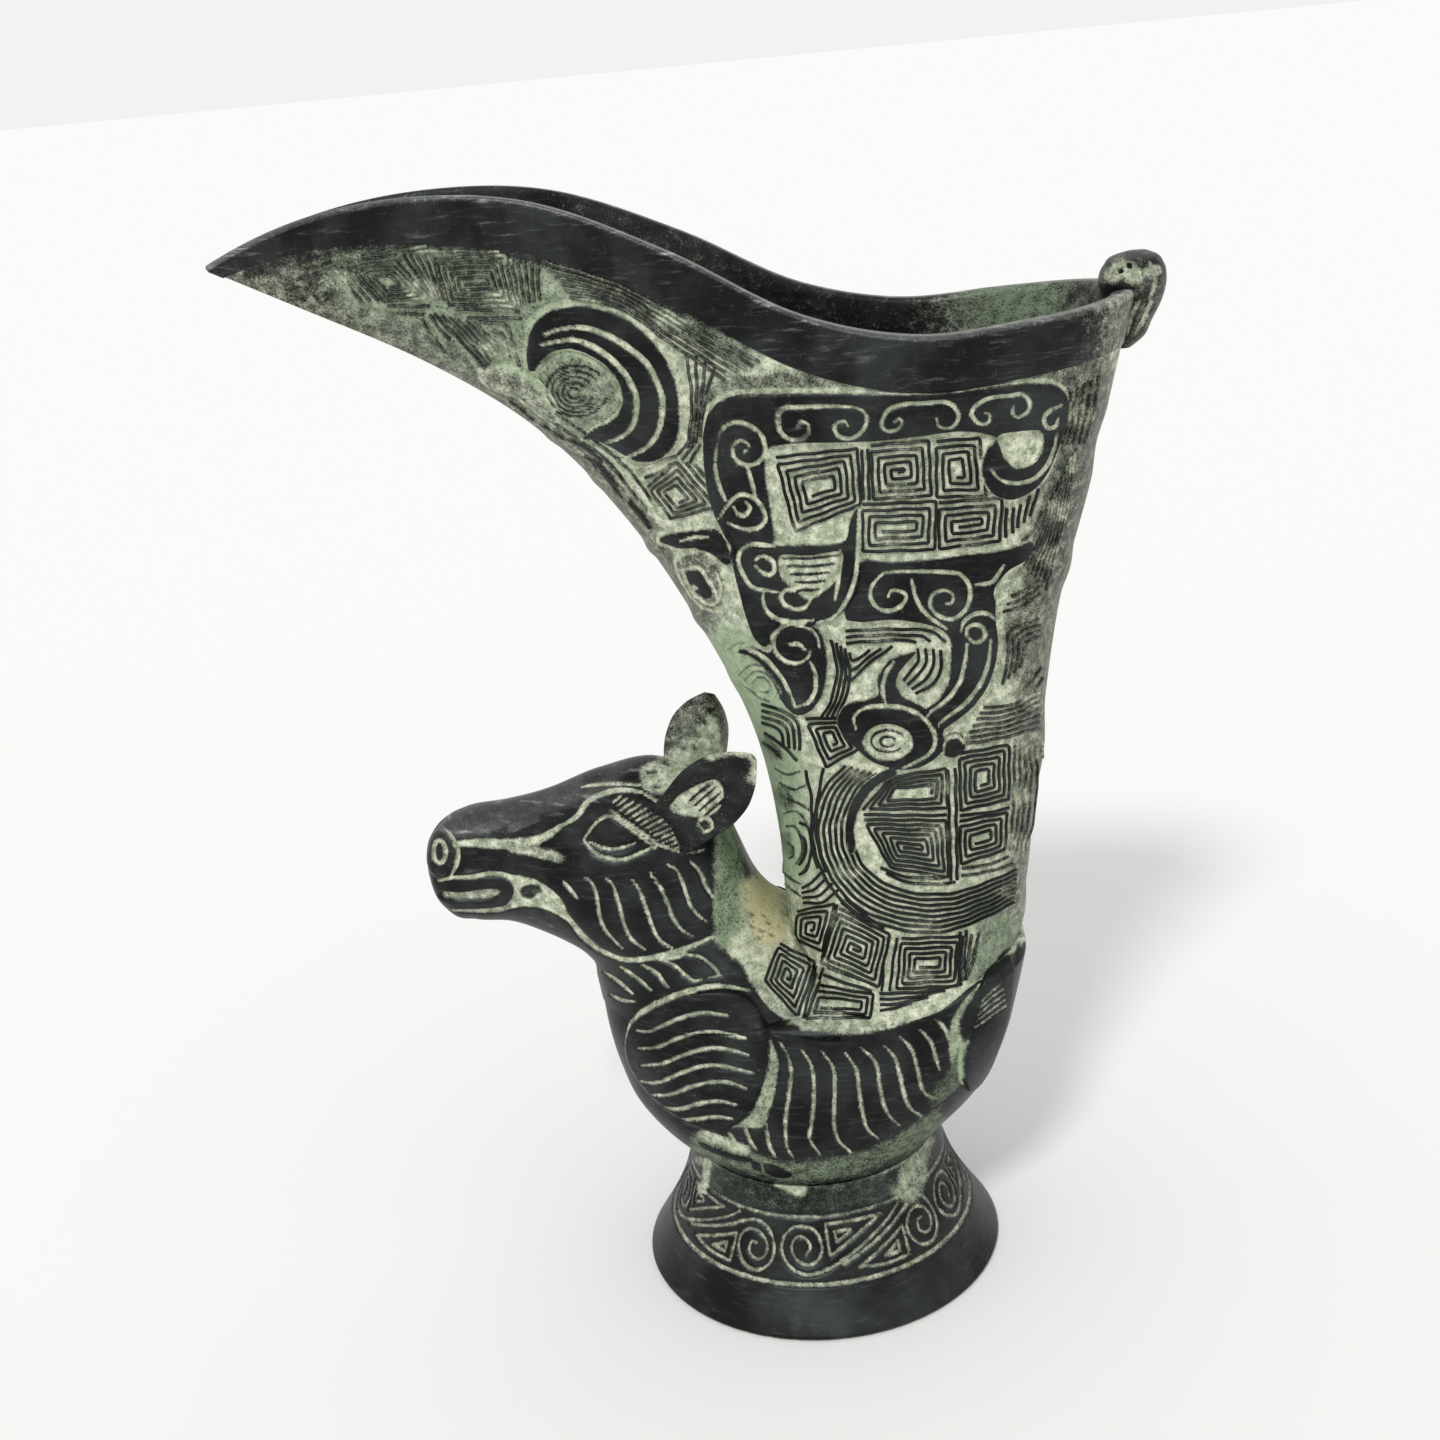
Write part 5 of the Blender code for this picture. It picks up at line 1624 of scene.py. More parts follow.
    def build(self, name: str, material: bpy.types.Material, side: Side) -> bpy.types.Object:
        """Make the ridges of one side.

        Args:
            name: The piece's name.
            material: Its finish.
            side: The side they lie on.

        Returns:
            The ridges as one plain mesh object.
        """
        flip = np.array([1.0, -1.0 if side is Side.FAR else 1.0, 1.0])
        points = [point for path in self.paths for point in path]
        ends = set(np.cumsum([len(path) for path in self.paths]).tolist())
        edges = [(k, k + 1) for k in range(len(points)) if k + 1 not in ends]
        paths = bpy.data.meshes.new(name + "_paths")
        paths.from_pydata(placed(np.array([point.place * flip for point in points])), edges, [])
        kept = paths.attributes.new("square_to_skin", "FLOAT_VECTOR", "POINT")
        squares = np.array([point.square * flip for point in points], np.float32)
        kept.data.foreach_set("vector", squares.ravel())
        kept = paths.attributes.new(Mark.PATINA.value, "FLOAT", "POINT")
        kept.data.foreach_set("value", np.array([point.crust for point in points], np.float32))
        guide = shown(name, paths)
        modifier = guide.modifiers.new("raised_line", "NODES")
        tree = self.sweep_tree(material)
        modifier.node_group = tree
        sizes = {"Base width": self.base_width, "Top width": self.top_width, "Height": self.height,
                 "Sunk": self.sunk}
        for item in tree.interface.items_tree:
            if item.in_out == "INPUT" and item.name in sizes:
                modifier[item.identifier] = sizes[item.name] * MM
        shot = guide.evaluated_get(bpy.context.evaluated_depsgraph_get())
        swept = bpy.data.meshes.new_from_object(shot)
        guide.modifiers.clear()
        guide.data = swept
        swept.name = name
        face_out(swept)
        return guide


# Lip

@dataclass(frozen=True)
class PlainLip:
    """The smooth dark lip and spout edge, rubbed bright along its top."""

    around: int = 420
    proud: float = 0.25
    rounding: float = 0.95
    skirt: float = 3.0
    side_rows: int = 12
    round_rows: int = 5
    top_rows: int = 3
    outer_wear: float = 0.26
    top_patina: float = 0.12
    inner_patina: float = 0.14
    tip: tuple[float, float] = (-92.0, -66.0)
    tip_wear: float = 0.35
    back: tuple[float, float] = (44.0, 54.0)
    back_patina: float = 0.4
    damp: tuple[float, float] = (22.0, 40.0)
    damp_end: tuple[float, float] = (46.0, 53.0)
    damp_lost: float = 0.7
    damp_green: float = 0.7
    damp_patina: float = 0.36

    def row(self, loft: Loft, line: Line, inset: float, drop: float, wear: float, patina: float) -> None:
        """Add a row of points that follows a line, greener inside at the back.

        Args:
            loft: The skin to add it to.
            line: Heights over X.
            inset: How far it lies inside the horn's outer skin.
            drop: How far it lies under the line.
            wear: How far it is rubbed bright.
            patina: Its patina.
        """
        horn, turn, half = FORMS.horn(), full_turn(self.around), FORMS.horn_wall / 2
        points = horn.skin(turn, horn.height_on(line, turn, inset) - drop, inset)
        x = points[:, 0]
        damp = soft_step(*self.damp, x) * (1 - self.damp_lost * soft_step(*self.damp_end, x)) * (inset > half)
        crust = patina + self.damp_patina * damp
        crust = crust + self.back_patina * soft_step(*self.back, x) * (inset < half)
        loft.add(points[None], {
            "patina": crust[None], "green": self.damp_green * damp[None], "soil": np.zeros((1, len(turn))),
            "wear": (wear + self.tip_wear * (1 - soft_step(*self.tip, x)))[None]})

    def build(self, bronze: bpy.types.Material) -> None:
        """Make the lip as one closed ring.

        Args:
            bronze: Its finish.
        """
        lip, band, wall, r = FORMS.lip_line(), FORMS.band_line(), FORMS.horn_wall, self.rounding
        loft = Loft()
        # Up the outside, over the edge, where it is rubbed brightest, and down the inside
        for k in range(self.side_rows + 1):
            self.row(loft, lambda x, s=k / self.side_rows: band(x) * (1 - s) + (lip(x) - r) * s,
                     -self.proud, 0.0, self.outer_wear, 0.0)
        for k in range(1, self.round_rows + 1):
            angle = math.pi / 2 * k / self.round_rows
            self.row(loft, lip, -self.proud + r * (1 - math.cos(angle)), r * (1 - math.sin(angle)),
                     0.4 + 0.12 * k, 0.1)
        for k in range(1, self.top_rows + 1):
            inset = -self.proud + r + (wall - 2 * r + self.proud) * k / self.top_rows
            self.row(loft, lip, inset, 0.0, 0.85 - 0.1 * k, self.top_patina)
        for k in range(1, self.round_rows + 1):
            angle = math.pi / 2 * k / self.round_rows
            self.row(loft, lip, wall - r + r * math.sin(angle), r * (1 - math.cos(angle)),
                     0.4 - 0.08 * k, self.top_patina)
        for k in range(1, self.side_rows + 1):
            self.row(loft, lambda x, s=k / self.side_rows: (lip(x) - r) * (1 - s)
                     + (band(x) - self.skirt) * s, wall, 0.0, 0.0, self.inner_patina)
        self.row(loft, lambda x: band(x) - self.skirt, wall / 2, 0.0, 0.0, self.inner_patina)
        self.row(loft, band, wall / 2, 0.0, 0.0, self.inner_patina)
        piece = loft.piece("lip_ring", bronze, around=True, looped=True, sharp=50.0)
        dress(piece, "lip_bronze", "rim_band")


# Belly and foot

@dataclass(frozen=True)
class BeastBelly:
    """The beast's body: shoulder pads with waving lines, ribs and haunches, round the horn's foot."""

    around: int = 620
    rows: int = 118
    wall: float = 3.4
    ground: float = 0.01
    edge_rise: float = 1.0
    front_rise: float = 1.6
    front_from: tuple[float, float] = (-24.0, -12.0)
    front_to: tuple[float, float] = (4.0, 16.0)
    brim_rows: int = 8
    brim_middle: float = 8.0
    brim_reach_back: float = 0.95
    brim_reach_front: float = 0.21
    brim_lap: float = 1.0
    ledge: float = 3.0
    bowl_top: float = 3.3
    bowl_floor: float = 4.0
    bowl_rows: int = 6
    plug_hole: tuple[tuple[float, float], ...] = (
        (9.0, 28.0), (9.0, 24.0), (15.0, 24.0), (15.0, 20.5), (18.0, 20.5), (18.0, 24.0))

    def draw(self, relief: Relief) -> None:
        """Carve the body's lines.

        Args:
            relief: The skin to draw on.
        """
        draw_shoulder(relief)
        draw_saddle(relief)
        relief.plate(
            "769,1038 775,1046 779,1062 777,1088 771,1110 764,1128 748,1130 728,1128 748,1114 760,1090 "
            "767,1062", rise=-0.3, edge=5.0, patina=0.62, green=0.5)
        relief.plate(
            "982,978 974,1000 962,1024 966,1050 960,1072 966,1086 955,1080 948,1052 950,1024 962,1002",
            rise=-0.3, edge=6.0, patina=0.64, green=0.55)
        relief.stain("700,1144 740,1160 790,1172 850,1166 900,1146 935,1122", 24, patina=0.42, green=0.65)
        relief.stain("704,1134 724,1142 746,1150", 10, patina=0.72, green=0.3)
        relief.stain("976,1040 960,1070 936,1098", 18, patina=0.36, green=0.7)
        for dark in ("700,1140 716,1147 736,1154 752,1157 752,1162 735,1160 714,1153 700,1146",
                     "752,1160 760,1162 761,1170 752,1168",
                     "765,1162 780,1166 792,1172 788,1178 772,1176 764,1170"):
            relief.plate(dark, rise=0.2, edge=3.0, patina=0.02)
        relief.grooves(
            "780,1043 788,1057 791,1075 788,1100 785,1130 787,1148 793,1158",
            "802,1051 811,1066 814,1090 812,1120 810,1140 820,1155",
            "822,1052 833,1068 835,1090 834,1120 838,1140 850,1152",
            "845,1053 856,1070 859,1090 863,1115 868,1130 878,1139",
            "861,1048 875,1062 880,1085 884,1105 891,1118 900,1126",
            "884,1046 895,1058 901,1080 906,1100 913,1111 922,1116",
            "900,1037 912,1050 918,1070 922,1088 928,1096 936,1099", "920,1030 931,1042 936,1058 940,1070",
            "936,1020 946,1030 952,1048", "745,1128 750,1142 756,1150", "766,1125 769,1145 775,1157",
            "729,1134 735,1142", width=4.2, deep=0.4, patina=0.66)
        relief.plate(
            "985,975 1000,962 1012,958 1010,1000 1000,1040 985,1075 968,1090 963,1062 972,1028", rise=0.6)
        relief.hatch(
            "980,1000 990,990 1000,982", "974,1026 990,1014 1004,1004", 5, width=2.2, deep=0.2, patina=0.55)

    def brim(self) -> np.ndarray:
        """Points of the rounded strip from the body's top edge to the horn.

        Returns:
            Rows of points going up and inward.
        """
        horn, turn = FORMS.horn(), full_turn(self.around)
        edge = FORMS.belly().skin(turn, FORMS.belly().height_on(FORMS.saddle_line(), turn))
        x = edge[:, 0] - self.brim_middle
        reach = np.where(x > 0.0, self.brim_reach_back * x, self.brim_reach_front * x) + self.brim_middle
        front, back = horn.front(FORMS.deck), horn.back(FORMS.deck)
        meet = np.arccos(1 - 2 * np.clip((reach - front) / (back - front), 0.0, 1.0))
        meet = np.where(turn > math.pi, 2 * math.pi - meet, meet)
        touch = horn.skin(meet, horn.height_on(FORMS.saddle_line(), meet), -self.brim_lap)
        swell = soft_step(*self.front_from, x) * (1 - soft_step(*self.front_to, x))
        rise = self.edge_rise + self.front_rise * swell
        rows = []
        for k in range(1, self.brim_rows + 1):
            angle = math.pi / 2 * k / self.brim_rows
            row = edge + (touch - edge) * (1 - math.cos(angle))
            row[:, 2] += rise * math.sin(angle)
            rows.append(row)
        return np.stack(rows)

    def build(self, bronze: bpy.types.Material) -> None:
        """Make the body as one closed bowl.

        Args:
            bronze: Its finish.
        """
        belly, horn, turn = FORMS.belly(), FORMS.horn(), full_turn(self.around)
        edge = belly.height_on(FORMS.saddle_line(), turn)
        share = np.linspace(0.0, 1.0, self.rows)[:, None]
        z = FORMS.foot_height + (edge - FORMS.foot_height) * share
        grid = np.concatenate([belly.skin(turn, z), self.brim()])
        relief = Relief(VIEW.pixels(grid), self.ground)
        self.draw(relief)
        loft = Loft()
        loft.carve(grid, relief)
        seat = np.full(self.around, FORMS.horn_seat - FORMS.clearance)
        loft.add(horn.skin(turn, seat, -FORMS.clearance))
        loft.add(horn.skin(turn, seat, FORMS.horn_wall))
        loft.add(horn.skin(turn, seat, FORMS.horn_wall) - np.array([0.0, 0.0, self.ledge]))
        top, floor = FORMS.horn_seat - self.bowl_top, FORMS.foot_height + self.bowl_floor
        for z in np.linspace(top, floor, self.bowl_rows):
            loft.add(belly.skin(turn, np.full(self.around, z), self.wall))
        for radius, z in self.plug_hole:
            loft.add(np.stack([-radius * np.cos(turn), radius * np.sin(turn),
                               np.full(self.around, z)], axis=-1))
        piece = loft.piece("beast_body", bronze, around=True, looped=True)
        dress(piece, "body_bronze", "belly_shell")


@dataclass(frozen=True)
class FlaredFoot:
    """The round foot: five like stretches of spirals and triangles between two lines."""

    around: int = 640
    rows: int = 96
    base_radius: float = 31.3
    flare: float = 1.6
    edge: float = 0.8
    wall: float = 3.2
    repeats: int = 5
    first_turn: float = -27.0
    band_radius: float = 27.0
    band_lines: tuple[float, float] = (18.5, 8.1)
    pixel: float = 0.18
    ground: float = -0.04
    underside: float = 0.35
    hollow_rows: int = 7
    hollow: tuple[float, float] = (0.95, 0.2)
    socket_radius: float = 18.3
    socket_floor: float = 20.2

    def radius(self, share: np.ndarray) -> np.ndarray:
        """Outer radius at a share of the way down."""
        neck = FORMS.foot_neck_radius
        return neck + (self.base_radius - neck) * share - self.flare * np.sin(math.pi * share)

    def flat(self, degrees: np.ndarray, z: np.ndarray) -> np.ndarray:
        """The band laid flat, in pixels of the photograph: degrees from the first spiral and heights."""
        along = np.radians(degrees) * self.band_radius
        return np.stack(np.broadcast_arrays(along, -z), axis=-1) / self.pixel

    def draw(self, relief: Relief) -> None:
        """Carve the foot's band, drawn in degrees and millimetres of height.

        Args:
            relief: The skin to draw on.
        """
        lines = (
            "-37,10.6 -28,12.2 -20,13.6 -12,15.1 -6,16.4 0,17 5,16.2 8,13.6 7.3,11.2 4,9.7 0,9.3 -4.5,10 "
            "-7.5,12 -7.3,13.9 -4,15.2 0,15.4 4,14.3 5.2,12.6 3.2,11.2 0,11 -2.6,12 -1.8,13.4 0.6,13.4",
            "63,17.6 57,15.9 48,14.0 38,11.9 29,10.2 21,9.5 15,10.5 11.5,12.5 12,15 16,16.6 21,16.9 "
            "25.5,16 27.5,13.6 26,11.8 22,10.9 17.5,11.6 15.2,13.5 17.5,15.2 21,15 23,13.6 21,12.5",
            "29.6,17.2 29.9,15 30.5,12.1", "30.5,12.1 42,14.8 54,17.1", "54,17.1 42,17.2 29.6,17.2",
            "33,15.8 40,15.8 33.6,14.2", "33.6,14.2 33,15.8", "-31,9.9 -22,11.6 -9.5,13.9",
            "-9.5,13.9 -10.4,9.4", "-10.4,9.4 -20,9.4 -31,9.9", "-20,10.5 -13.4,11.9",
            "-13.4,11.9 -13.8,10.4", "-13.8,10.4 -20,10.5")
        sector = 360.0 / self.repeats
        for text in lines:
            for turn in (-sector, 0.0, sector):
                points = drawn(text) + np.array([turn, 0.0])
                line = flowing(self.flat(points[:, 0], points[:, 1]))
                relief.cut(line, width=3.7, taper=0.15, patina=0.56)
        for z in self.band_lines:
            line = self.flat(np.array([-sector, sector]), np.array([z, z]))
            relief.cut(line, width=4.2, taper=0.0, patina=0.58)

    def stains(self, relief: Relief) -> None:
        """Crust along the joint with the body, and runs of it down the neck.

        Args:
            relief: The skin to draw on.
        """
        relief.stain("698,1160 740,1174 790,1184 840,1182 880,1172 930,1140", 9, patina=0.5, green=0.45)
        relief.stain("716,1180 760,1194 820,1200 880,1190", 30, patina=0.2, green=0.7)
        relief.stain("778,1180 792,1186 800,1190", 13, patina=0.8, green=0.25)
        relief.stain("918,1142 914,1165 908,1190", 30, patina=0.56, green=0.45, soil=0.25)
        relief.stain("708,1160 706,1176 701,1190", 9, patina=0.7, green=0.3)
        relief.stain("830,1192 842,1188", 10, wear=0.4)

    def build(self, bronze: bpy.types.Material) -> None:
        """Make the foot as one closed ring.

        Args:
            bronze: Its finish.
        """
        turn = full_turn(self.around)
        top = FORMS.foot_height - FORMS.clearance
        share = np.linspace(0.0, 1.0, self.rows)[:, None]
        z = top + (self.edge - top) * share
        grid = self.circle(self.radius(share), z)
        sector = 360.0 / self.repeats
        folded = (np.degrees(turn) - self.first_turn + sector / 2) % sector - sector / 2
        relief = Relief(self.flat(folded, z), self.ground)
        self.draw(relief)
        relief.turn_to(VIEW.pixels(grid))
        self.stains(relief)
        loft = Loft(self.underside)
        loft.carve(grid, relief)
        base, chamfer = self.base_radius, self.edge * 0.3
        for radius, height in ((base - chamfer, chamfer), (base - self.edge, 0.0), (base - self.wall, 0.0)):
            loft.add(self.circle(radius, height))
        share = np.linspace(*self.hollow, self.hollow_rows)[:, None]
        loft.add(self.circle(self.radius(share) - self.wall, top + (self.edge - top) * share))
        for height in (self.socket_floor, top):
            loft.add(self.circle(self.socket_radius, height))
        piece = loft.piece("foot", bronze, around=True, looped=True)
        dress(piece, "foot_bronze", "foot_ring")

    def circle(self, radius: float | np.ndarray, height: float | np.ndarray) -> np.ndarray:
        """Points round a level circle, or round several."""
        turn = full_turn(self.around)
        return np.stack(np.broadcast_arrays(radius * np.sin(turn), -radius * np.cos(turn), height), axis=-1)


# Head, ears and the small beast on the lip

@dataclass(frozen=True)
class BeastHead:
    """The neck and deer-like head, with incised cheeks, brow, eye, nostril and mouth."""

    around: int = 300
    rows: int = 290
    slices: tuple[Slice, ...] = (
        Slice((-34.9, -0.4), (6.0, -0.4), 19.5, 0.32), Slice((-35.2, 2.6), (1.0, 9.0), 17.8, 0.38),
        Slice((-35.3, 3.7), (-5.5, 17.0), 15.6, 0.42), Slice((-35.3, 4.6), (-9.0, 26.5), 13.2),
        Slice((-35.4, 5.4), (-12.0, 35.5), 12.6), Slice((-35.7, 6.2), (-21.0, 41.2), 12.3),
        Slice((-37.5, 8.3), (-30.5, 40.2), 11.3), Slice((-42.5, 11.4), (-39.5, 38.0), 9.3),
        Slice((-48.5, 14.0), (-47.5, 36.4), 7.7), Slice((-54.5, 14.7), (-54.5, 35.0), 6.9),
        Slice((-58.4, 16.0), (-58.4, 32.6), 6.2), Slice((-60.7, 19.5), (-60.7, 29.3), 4.4),
        Slice((-61.5, 22.5), (-61.5, 26.8), 2.2),
    )
    ground: float = 0.01
    shortest_step: float = 1.2
    shoulder: float = 7.0
    shoulder_end: tuple[float, float] = (0.5, 0.84)
    web: float = 22.0
    web_top: tuple[float, float] = (9.0, 18.0)
    web_start: tuple[float, float] = (0.5, 0.75)
    web_sunk: tuple[float, float] = (1.0, 6.0)
    least_reach: float = 1e-6
    plain_neck: float = 4.0
    plain_nose: float = 6.0

    def grid(self) -> np.ndarray:
        """Points of the plain skin.

        Returns:
            Rows of points from the neck's foot to the nose.
        """
        lows = np.array([row.low for row in self.slices])
        highs = np.array([row.high for row in self.slices])
        gaps = np.linalg.norm(np.diff((lows + highs) / 2, axis=0), axis=1)
        runs = np.concatenate([[0.0], np.cumsum(np.maximum(gaps, self.shortest_step))])
        at = np.linspace(0.0, runs[-1], self.rows)

        def along(values: np.ndarray) -> np.ndarray:
            """A size of the slices, drawn out smoothly over the rows."""
            return SmoothCurve(list(zip(runs, values)))(at)[:, None]

        turn = full_turn(self.around)
        share = (1 - np.cos(turn)) / 2
        x = along(lows[:, 0]) * (1 - share) + along(highs[:, 0]) * share
        z = FORMS.deck + FORMS.clearance + along(lows[:, 1]) * (1 - share)
        z = z + along(highs[:, 1]) * share
        taper = along(np.array([row.high_taper for row in self.slices]))
        width = along(np.array([row.half_width for row in self.slices]))
        y = width * oval_bulge(share, np.full_like(taper, 0.5), taper)
        rise = np.maximum(self.shoulder * (1 - soft_step(*self.shoulder_end, share)),
                          FORMS.clearance)
        spread = 1 - soft_step(0.0, 1.0, (z - FORMS.deck) / rise)
        y = y + (np.maximum(FORMS.belly().width_at(x, z), y) - y) * spread
        y = self.webbed(x, y, z, share) * np.sign(np.round(np.sin(turn), 9))
        return self.clear_of_horn(np.stack([x, y, z], axis=-1))

    def webbed(self, x: np.ndarray, y: np.ndarray, z: np.ndarray, share: np.ndarray) -> np.ndarray:
        """Fill the fork between neck and horn with a smooth web.

        Args:
            x: Distance of each point along X.
            y: Half width of the neck there.
            z: Height of each point.
            share: Share of the way from the neck's front to its back.

        Returns:
            The half width with the web.
        """
        horn = FORMS.horn()
        flank = horn.width_at(x, z)
        behind = soft_step(*self.web_start, share)
        reach = self.web * (1 - soft_step(*self.web_top, z - FORMS.deck)) * behind + self.least_reach
        merge = np.clip(1 - np.abs(y - flank) / reach, 0.0, 1.0)
        sunk = soft_step(*self.web_sunk, x - horn.front(z))
        return y + (np.maximum(y, flank) + merge ** 2 * reach / 4 - y) * behind - sunk

    def clear_of_horn(self, points: np.ndarray) -> np.ndarray:
        """Hold the back of the neck inside the horn's wall, out of its bore.

        Args:
            points: Points of the neck.

        Returns:
            The points, moved forward where they have to be.
        """
        horn = FORMS.horn()
        x, y, z = points[..., 0], points[..., 1], points[..., 2]
        middle = (horn.front(z) + horn.back(z)) / 2
        reach = (horn.back(z) - horn.front(z)) / 2 - FORMS.horn_wall / 2
        share = np.clip(np.abs(y) / (horn.half_width(z) - FORMS.horn_wall / 2), 0.0, 1.0)
        limit = middle - reach * np.sqrt(1 - share ** 2)
        return np.stack([np.minimum(x, limit), y, z], axis=-1)

    def draw(self, relief: Relief) -> None:
        """Carve the head's lines, and swell its brow, eyes, cheeks and lips.

        Args:
            relief: The skin to draw on.
        """
        draw_shoulder(relief)
        draw_saddle(relief)
        draw_crook(relief)
        for centre, radii, rise in (
                ((632, 812), (66, 30), 1.0), ((612, 840), (48, 26), -0.9), ((615, 836), (30, 17), 1.1),
                ((645, 905), (80, 55), 0.8), ((476, 896), (46, 22), 0.4), ((520, 795), (120, 42), -0.9)):
            relief.mound(centre, radii, rise)
        relief.groove("468,864 510,866 550,864 580,858", width=26, deep=0.5, patina=0.05)
        relief.groove("456,844 480,843 510,844 540,839 560,827", width=10, deep=-0.5, patina=0.78)
        relief.stain("515,848 535,852 556,858", 12, patina=0.6)
        # Painted sheen along the top of the snout and the underside of the jaw, with real scuffs on the
        # muzzle
        for scuff_and_sheen, width, wear in (
                ("458,820 520,801 600,777", 46, 0.62), ("480,831 502,823", 7, 0.6),
                ("512,828 534,819", 10, 0.6), ("540,803 562,795", 8, 0.65), ("588,776 640,765", 12, 0.5),
                ("508,913 540,919 578,934", 12, 0.36)):
            relief.stain(scuff_and_sheen, width, wear=wear)
        relief.groove(
            "560,827 577,816 583,806 592,798 606,793 622,790 642,793", width=6, deep=-0.2, patina=0.78)
        relief.grooves(
            "642,793 662,806 682,821 702,838", "580,785 610,783 640,785", width=3.8, deep=0.2, patina=0.75)
        relief.hatch("622,796 613,804", "702,838 672,850", 14, width=2.7, deep=0.35, patina=0.7)
        relief.plate(
            "640,765 660,757 690,755 712,757 700,765 685,778 670,795 655,797 642,790 638,778", rise=0.0,
            edge=10.0, patina=0.78)
        relief.plate(
            "595,830 603,821 612,818 625,825 640,838 628,842 608,841", rise=0.35, edge=4.0, patina=0.03)
        relief.grooves(
            "583,839 590,829 600,820 612,817 626,825 641,837 655,848", "589,842 600,848 616,849 634,844",
            "583,840 594,853 610,859 626,859 642,852 656,846", width=3.8, deep=0.3, patina=0.74)
        relief.grooves("612,811 640,831 662,846 690,853 704,850", width=3.6, patina=0.75)
        relief.grooves(
            "563,882 570,890 577,899", "584,878 591,882 597,896 600,916 606,931 622,949",
            "606,878 613,885 620,905 625,925 633,940 645,950",
            "632,879 640,890 648,910 653,926 660,940 672,948",
            "650,873 660,886 668,903 673,917 682,930 692,936",
            "668,864 678,872 684,888 690,905 700,917 706,921", "690,861 700,872 706,887 713,897", width=3.8,
            patina=0.75)
        relief.plate(
            "503,876 530,878 548,887 562,900 568,913 578,926 590,939 603,950 622,960 606,957 590,948 "
            "576,935 566,922 545,911 525,908 506,910 514,900 516,888", rise=-0.2, edge=3.0, patina=0.8)
        relief.stain("524,893 536,890", 10, patina=0.2)
        relief.grooves("600,951 625,960 650,958 675,952 692,946 712,937", width=5.6, deep=0.3, patina=0.74)
        relief.grooves(
            "648,772 656,771", "664,762 668,764", "684,762 690,764", "655,786 660,787", width=4.4, deep=0.3,
            taper=0.0, patina=0.35)
        relief.grooves(
            "522,890 534,888", "527,897 533,896", "545,914 552,918", width=6.0, deep=0.2, patina=0.1)
        relief.plate("652,960 668,951 688,948 684,957 668,962", rise=0.0, edge=4.0, patina=0.75, green=0.3)
        relief.grooves(
            "603,972 618,982 632,994", "620,967 636,978 651,991", "642,965 656,973 668,988",
            "663,960 675,966 685,975 694,981 702,979", "683,954 700,957 712,966 719,975 708,978",
            "610,995 622,1001 634,1002", width=3.7, patina=0.74)
        relief.grooves(
            "438,881 452,878 470,877 490,875 506,877 514,885 516,894 511,903 504,909 480,911 452,911",
            width=4.6, patina=0.8)
        relief.plate(
            "440,893 460,893 480,890 497,890 500,896 486,900 460,901 443,900", rise=-0.9, edge=4.0,
            patina=0.75)
        relief.plate(oval((442, 854), (15, 24)), rise=0.45, edge=4.0, patina=0.1)
        relief.cut(oval((441, 852), (6, 11)), width=4.2, deep=0.3, taper=0.0, patina=0.66)
        relief.groove("445,829 453,838 458,850 457,863 451,876", width=4.0, patina=0.8)

    def build(self, bronze: bpy.types.Material) -> None:
        """Make the neck and head as one closed piece.

        Args:
            bronze: Its finish.
        """
        grid = self.grid()
        relief = Relief(VIEW.pixels(grid), self.ground)
        self.draw(relief)
        row = np.arange(self.rows)
        ends = soft_step(0.0, self.plain_neck, row) * soft_step(0.0, self.plain_nose, row[::-1])
        relief.height *= np.repeat(ends, self.around)
        loft = Loft()
        loft.carve(grid, relief)
        piece = loft.piece("neck_and_head", bronze, around=True, looped=False)
        dress(piece, "body_bronze", "beast_head")


class Ear(NamedTuple):
    """An ear: its solid, its root on the head, its length, its lean in degrees and its patina."""

    node: str
    root: tuple[float, float, float]
    length: float
    sweep: float
    splay: float
    ground: float


EARS = {
    Side.NEAR: Ear("left_ear", (-20.0, -7.6, 31.0), 24.0, 45.0, 22.0, 0.1),
    Side.FAR: Ear("right_ear", (-17.4, 7.6, 29.0), 20.0, 16.0, 24.0, 0.3),
}


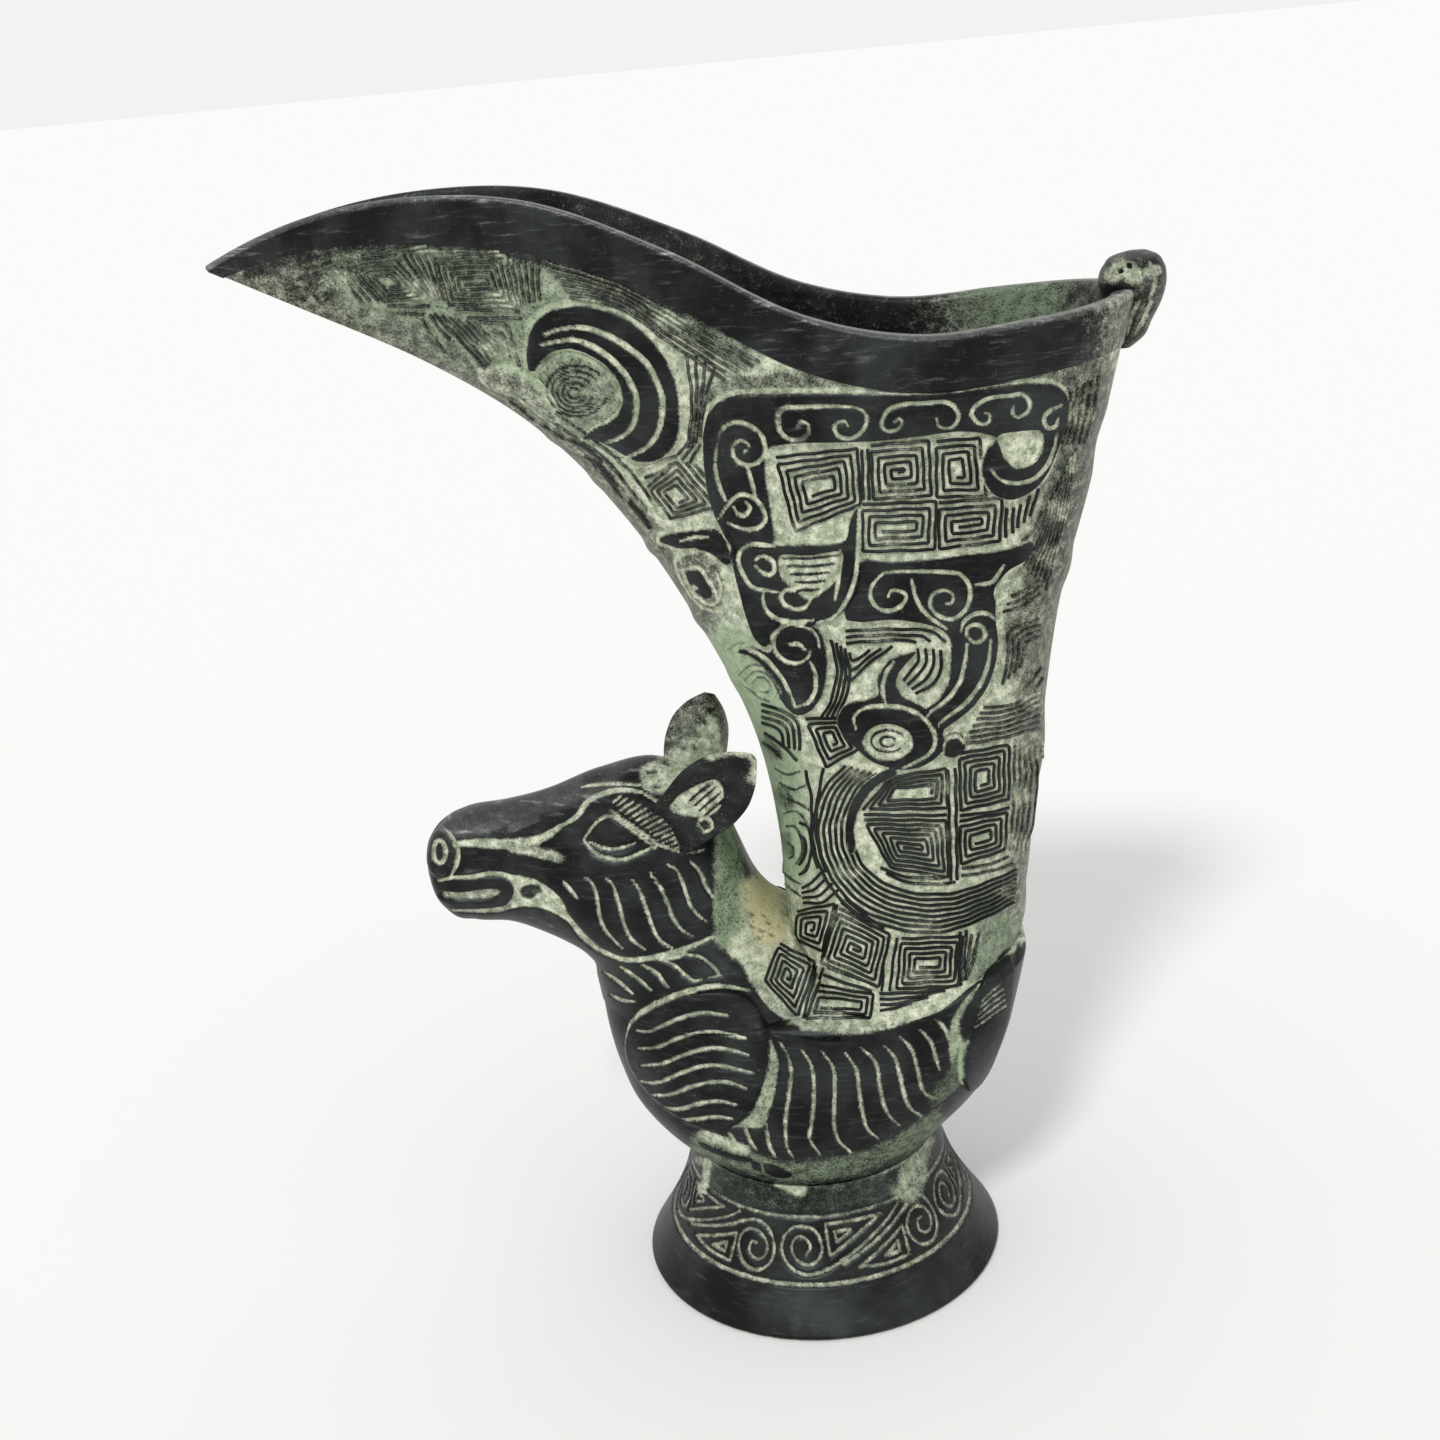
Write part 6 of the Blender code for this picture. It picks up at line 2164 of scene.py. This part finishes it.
@dataclass(frozen=True)
class LeafEars:
    """A pair of dished, leaf-shaped ears."""

    thickness: float = 2.8
    dish: float = 2.2
    toe_in: float = 20.0
    around: int = 96
    rows: int = 80
    half_widths: tuple[tuple[float, float], ...] = (
        (0.0, 4.4), (0.3, 5.2), (0.6, 5.8), (0.8, 4.8), (0.93, 2.8), (1.0, 1.0))

    def grid(self, ear: Ear) -> np.ndarray:
        """Points of an ear's skin.

        Args:
            ear: The ear.

        Returns:
            Rows of points from root to tip.
        """
        share = np.sin(math.pi / 2 * np.linspace(0.0, 1.0, self.rows))[:, None]
        turn = full_turn(self.around)
        half = SmoothCurve(self.half_widths)(share)
        fullness = half / max(w for _, w in self.half_widths)
        across = half * np.cos(turn)
        deep = self.thickness / 2 * fullness * np.sin(turn)
        deep = deep - self.dish * fullness * np.cos(turn) ** 2
        side = math.copysign(1.0, ear.root[1])
        sweep, splay, toe = (math.radians(v) for v in (ear.sweep, ear.splay, self.toe_in))
        axis = np.array([math.sin(sweep) * math.cos(splay), side * math.sin(splay),
                         math.cos(sweep) * math.cos(splay)])
        out = np.array([-math.sin(toe), side * math.cos(toe), 0.0])
        out -= axis * (out @ axis)
        out /= np.linalg.norm(out)
        level = np.cross(axis, out)
        root = np.array(ear.root) + [0.0, 0.0, FORMS.deck + FORMS.clearance]
        leaf = root + across[..., None] * level - deep[..., None] * out
        return leaf + (ear.length * share)[..., None] * axis

    def draw(self, relief: Relief, side: Side) -> None:
        """Carve the near ear's hollow, or shade the far ear's pale front.

        Args:
            relief: The skin to draw on.
            side: The ear's side.
        """
        if side is Side.FAR:
            relief.plate(
                "660,760 676,745 690,735 700,722 708,714 718,717 724,735 726,765 690,775", rise=0.0,
                edge=12.0, patina=0.86)
            relief.grooves(
                "697,735 699,737", "694,746 696,750", "705,722 708,724", "683,748 685,749", width=4.4,
                deep=0.3, taper=0.0, patina=0.4)
            return
        relief.plate(
            "680,795 700,784 715,780 722,787 723,800 716,812 705,818 690,818 675,815 668,808", rise=-0.5,
            edge=4.0, patina=0.85)
        relief.stain("712,755 725,750 740,750 752,754 757,764 754,778", 13, patina=0.66)
        relief.hatch("688,802 712,783", "703,816 722,800", 4, width=3.4, deep=-0.35, patina=0.06)
        relief.groove("697,826 701,819 709,820 711,828 704,832 700,827", width=3.6, patina=0.8)

    def build(self, bronze: bpy.types.Material) -> None:
        """Make both ears.

        Args:
            bronze: Its finish.
        """
        for side, ear in EARS.items():
            grid = self.grid(ear)
            relief = Relief(VIEW.pixels(grid, mirrored=False), ear.ground)
            self.draw(relief, side)
            loft = Loft()
            loft.carve(grid, relief)
            piece = loft.piece("leaf_" + ear.node, bronze, around=True, looped=False)
            dress(piece, "body_bronze", ear.node)


@dataclass(frozen=True)
class LipBeast:
    """The small round-headed beast that holds the back of the lip."""

    around: int = 160
    rows: int = 120
    ground: float = 0.16
    levels: tuple[Level, ...] = (
        Level(110.8, 55.0, 57.4, 1.6), Level(112.2, 54.5, 59.2, 3.2), Level(114.8, 54.0, 60.6, 4.6),
        Level(118.0, 53.4, 62.2, 5.6), Level(121.0, 52.8, 62.8, 6.0), Level(123.0, 53.6, 62.4, 5.2),
        Level(124.4, 55.2, 61.2, 3.4), Level(124.9, 57.0, 60.0, 1.4))

    def build(self, bronze: bpy.types.Material) -> None:
        """Make the small beast as one closed piece.

        Args:
            bronze: Its finish.
        """
        stack = OvalStack(self.levels, FORMS.horn_seat)
        share = 0.5 - 0.5 * np.cos(np.linspace(0.0, math.pi, self.rows))
        z = (stack.lowest + (stack.highest - stack.lowest) * share)[:, None]
        grid = stack.skin(full_turn(self.around), z)
        relief = Relief(VIEW.pixels(grid), self.ground)
        relief.stain("1146,284 1150,304 1140,326", 34, patina=0.24, wear=0.42)
        relief.stain("1112,262 1130,254 1150,258", 16, wear=0.4)
        relief.stain("1113,275 1124,268 1134,276", 17, patina=0.75)
        relief.stain("1149,271 1157,270", 10, patina=0.7)
        relief.grooves("1119,270 1121,271", "1128,264 1130,266", width=6.0, deep=0.7, patina=0.05)
        relief.grooves(
            "1150,262 1156,280 1150,300", "1140,300 1132,318 1128,334", "1152,300 1144,320 1136,334",
            width=4.0, deep=0.35, patina=0.7)
        relief.stain("1118,300 1112,320 1104,338", 12, patina=0.7)
        loft = Loft()
        loft.carve(grid, relief)
        piece = loft.piece("lip_beast", bronze, around=True, looped=False)
        dress(piece, "lip_bronze", "rim_beast")


# Scene


def main() -> None:
    """Build every piece, the paper, the light and the camera."""
    logging.basicConfig(level=logging.INFO, format="%(message)s")
    bronze = PatinatedBronze("patinated_bronze").build()
    head, belly = BeastHead(), BeastBelly()
    CarvedHorn().build(bronze, [head.grid(), belly.brim()])
    PlainLip().build(bronze)
    belly.build(bronze)
    FlaredFoot().build(bronze)
    head.build(bronze)
    LeafEars().build(bronze)
    LipBeast().build(bronze)
    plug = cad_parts["core_plug"]
    plug.data.materials.clear()
    plug.data.materials.append(bronze)
    PaperSweep().build()
    StudioLight().build()
    VIEW.set_up(foot_axis() / MM)


if __name__ == "__main__":
    main()
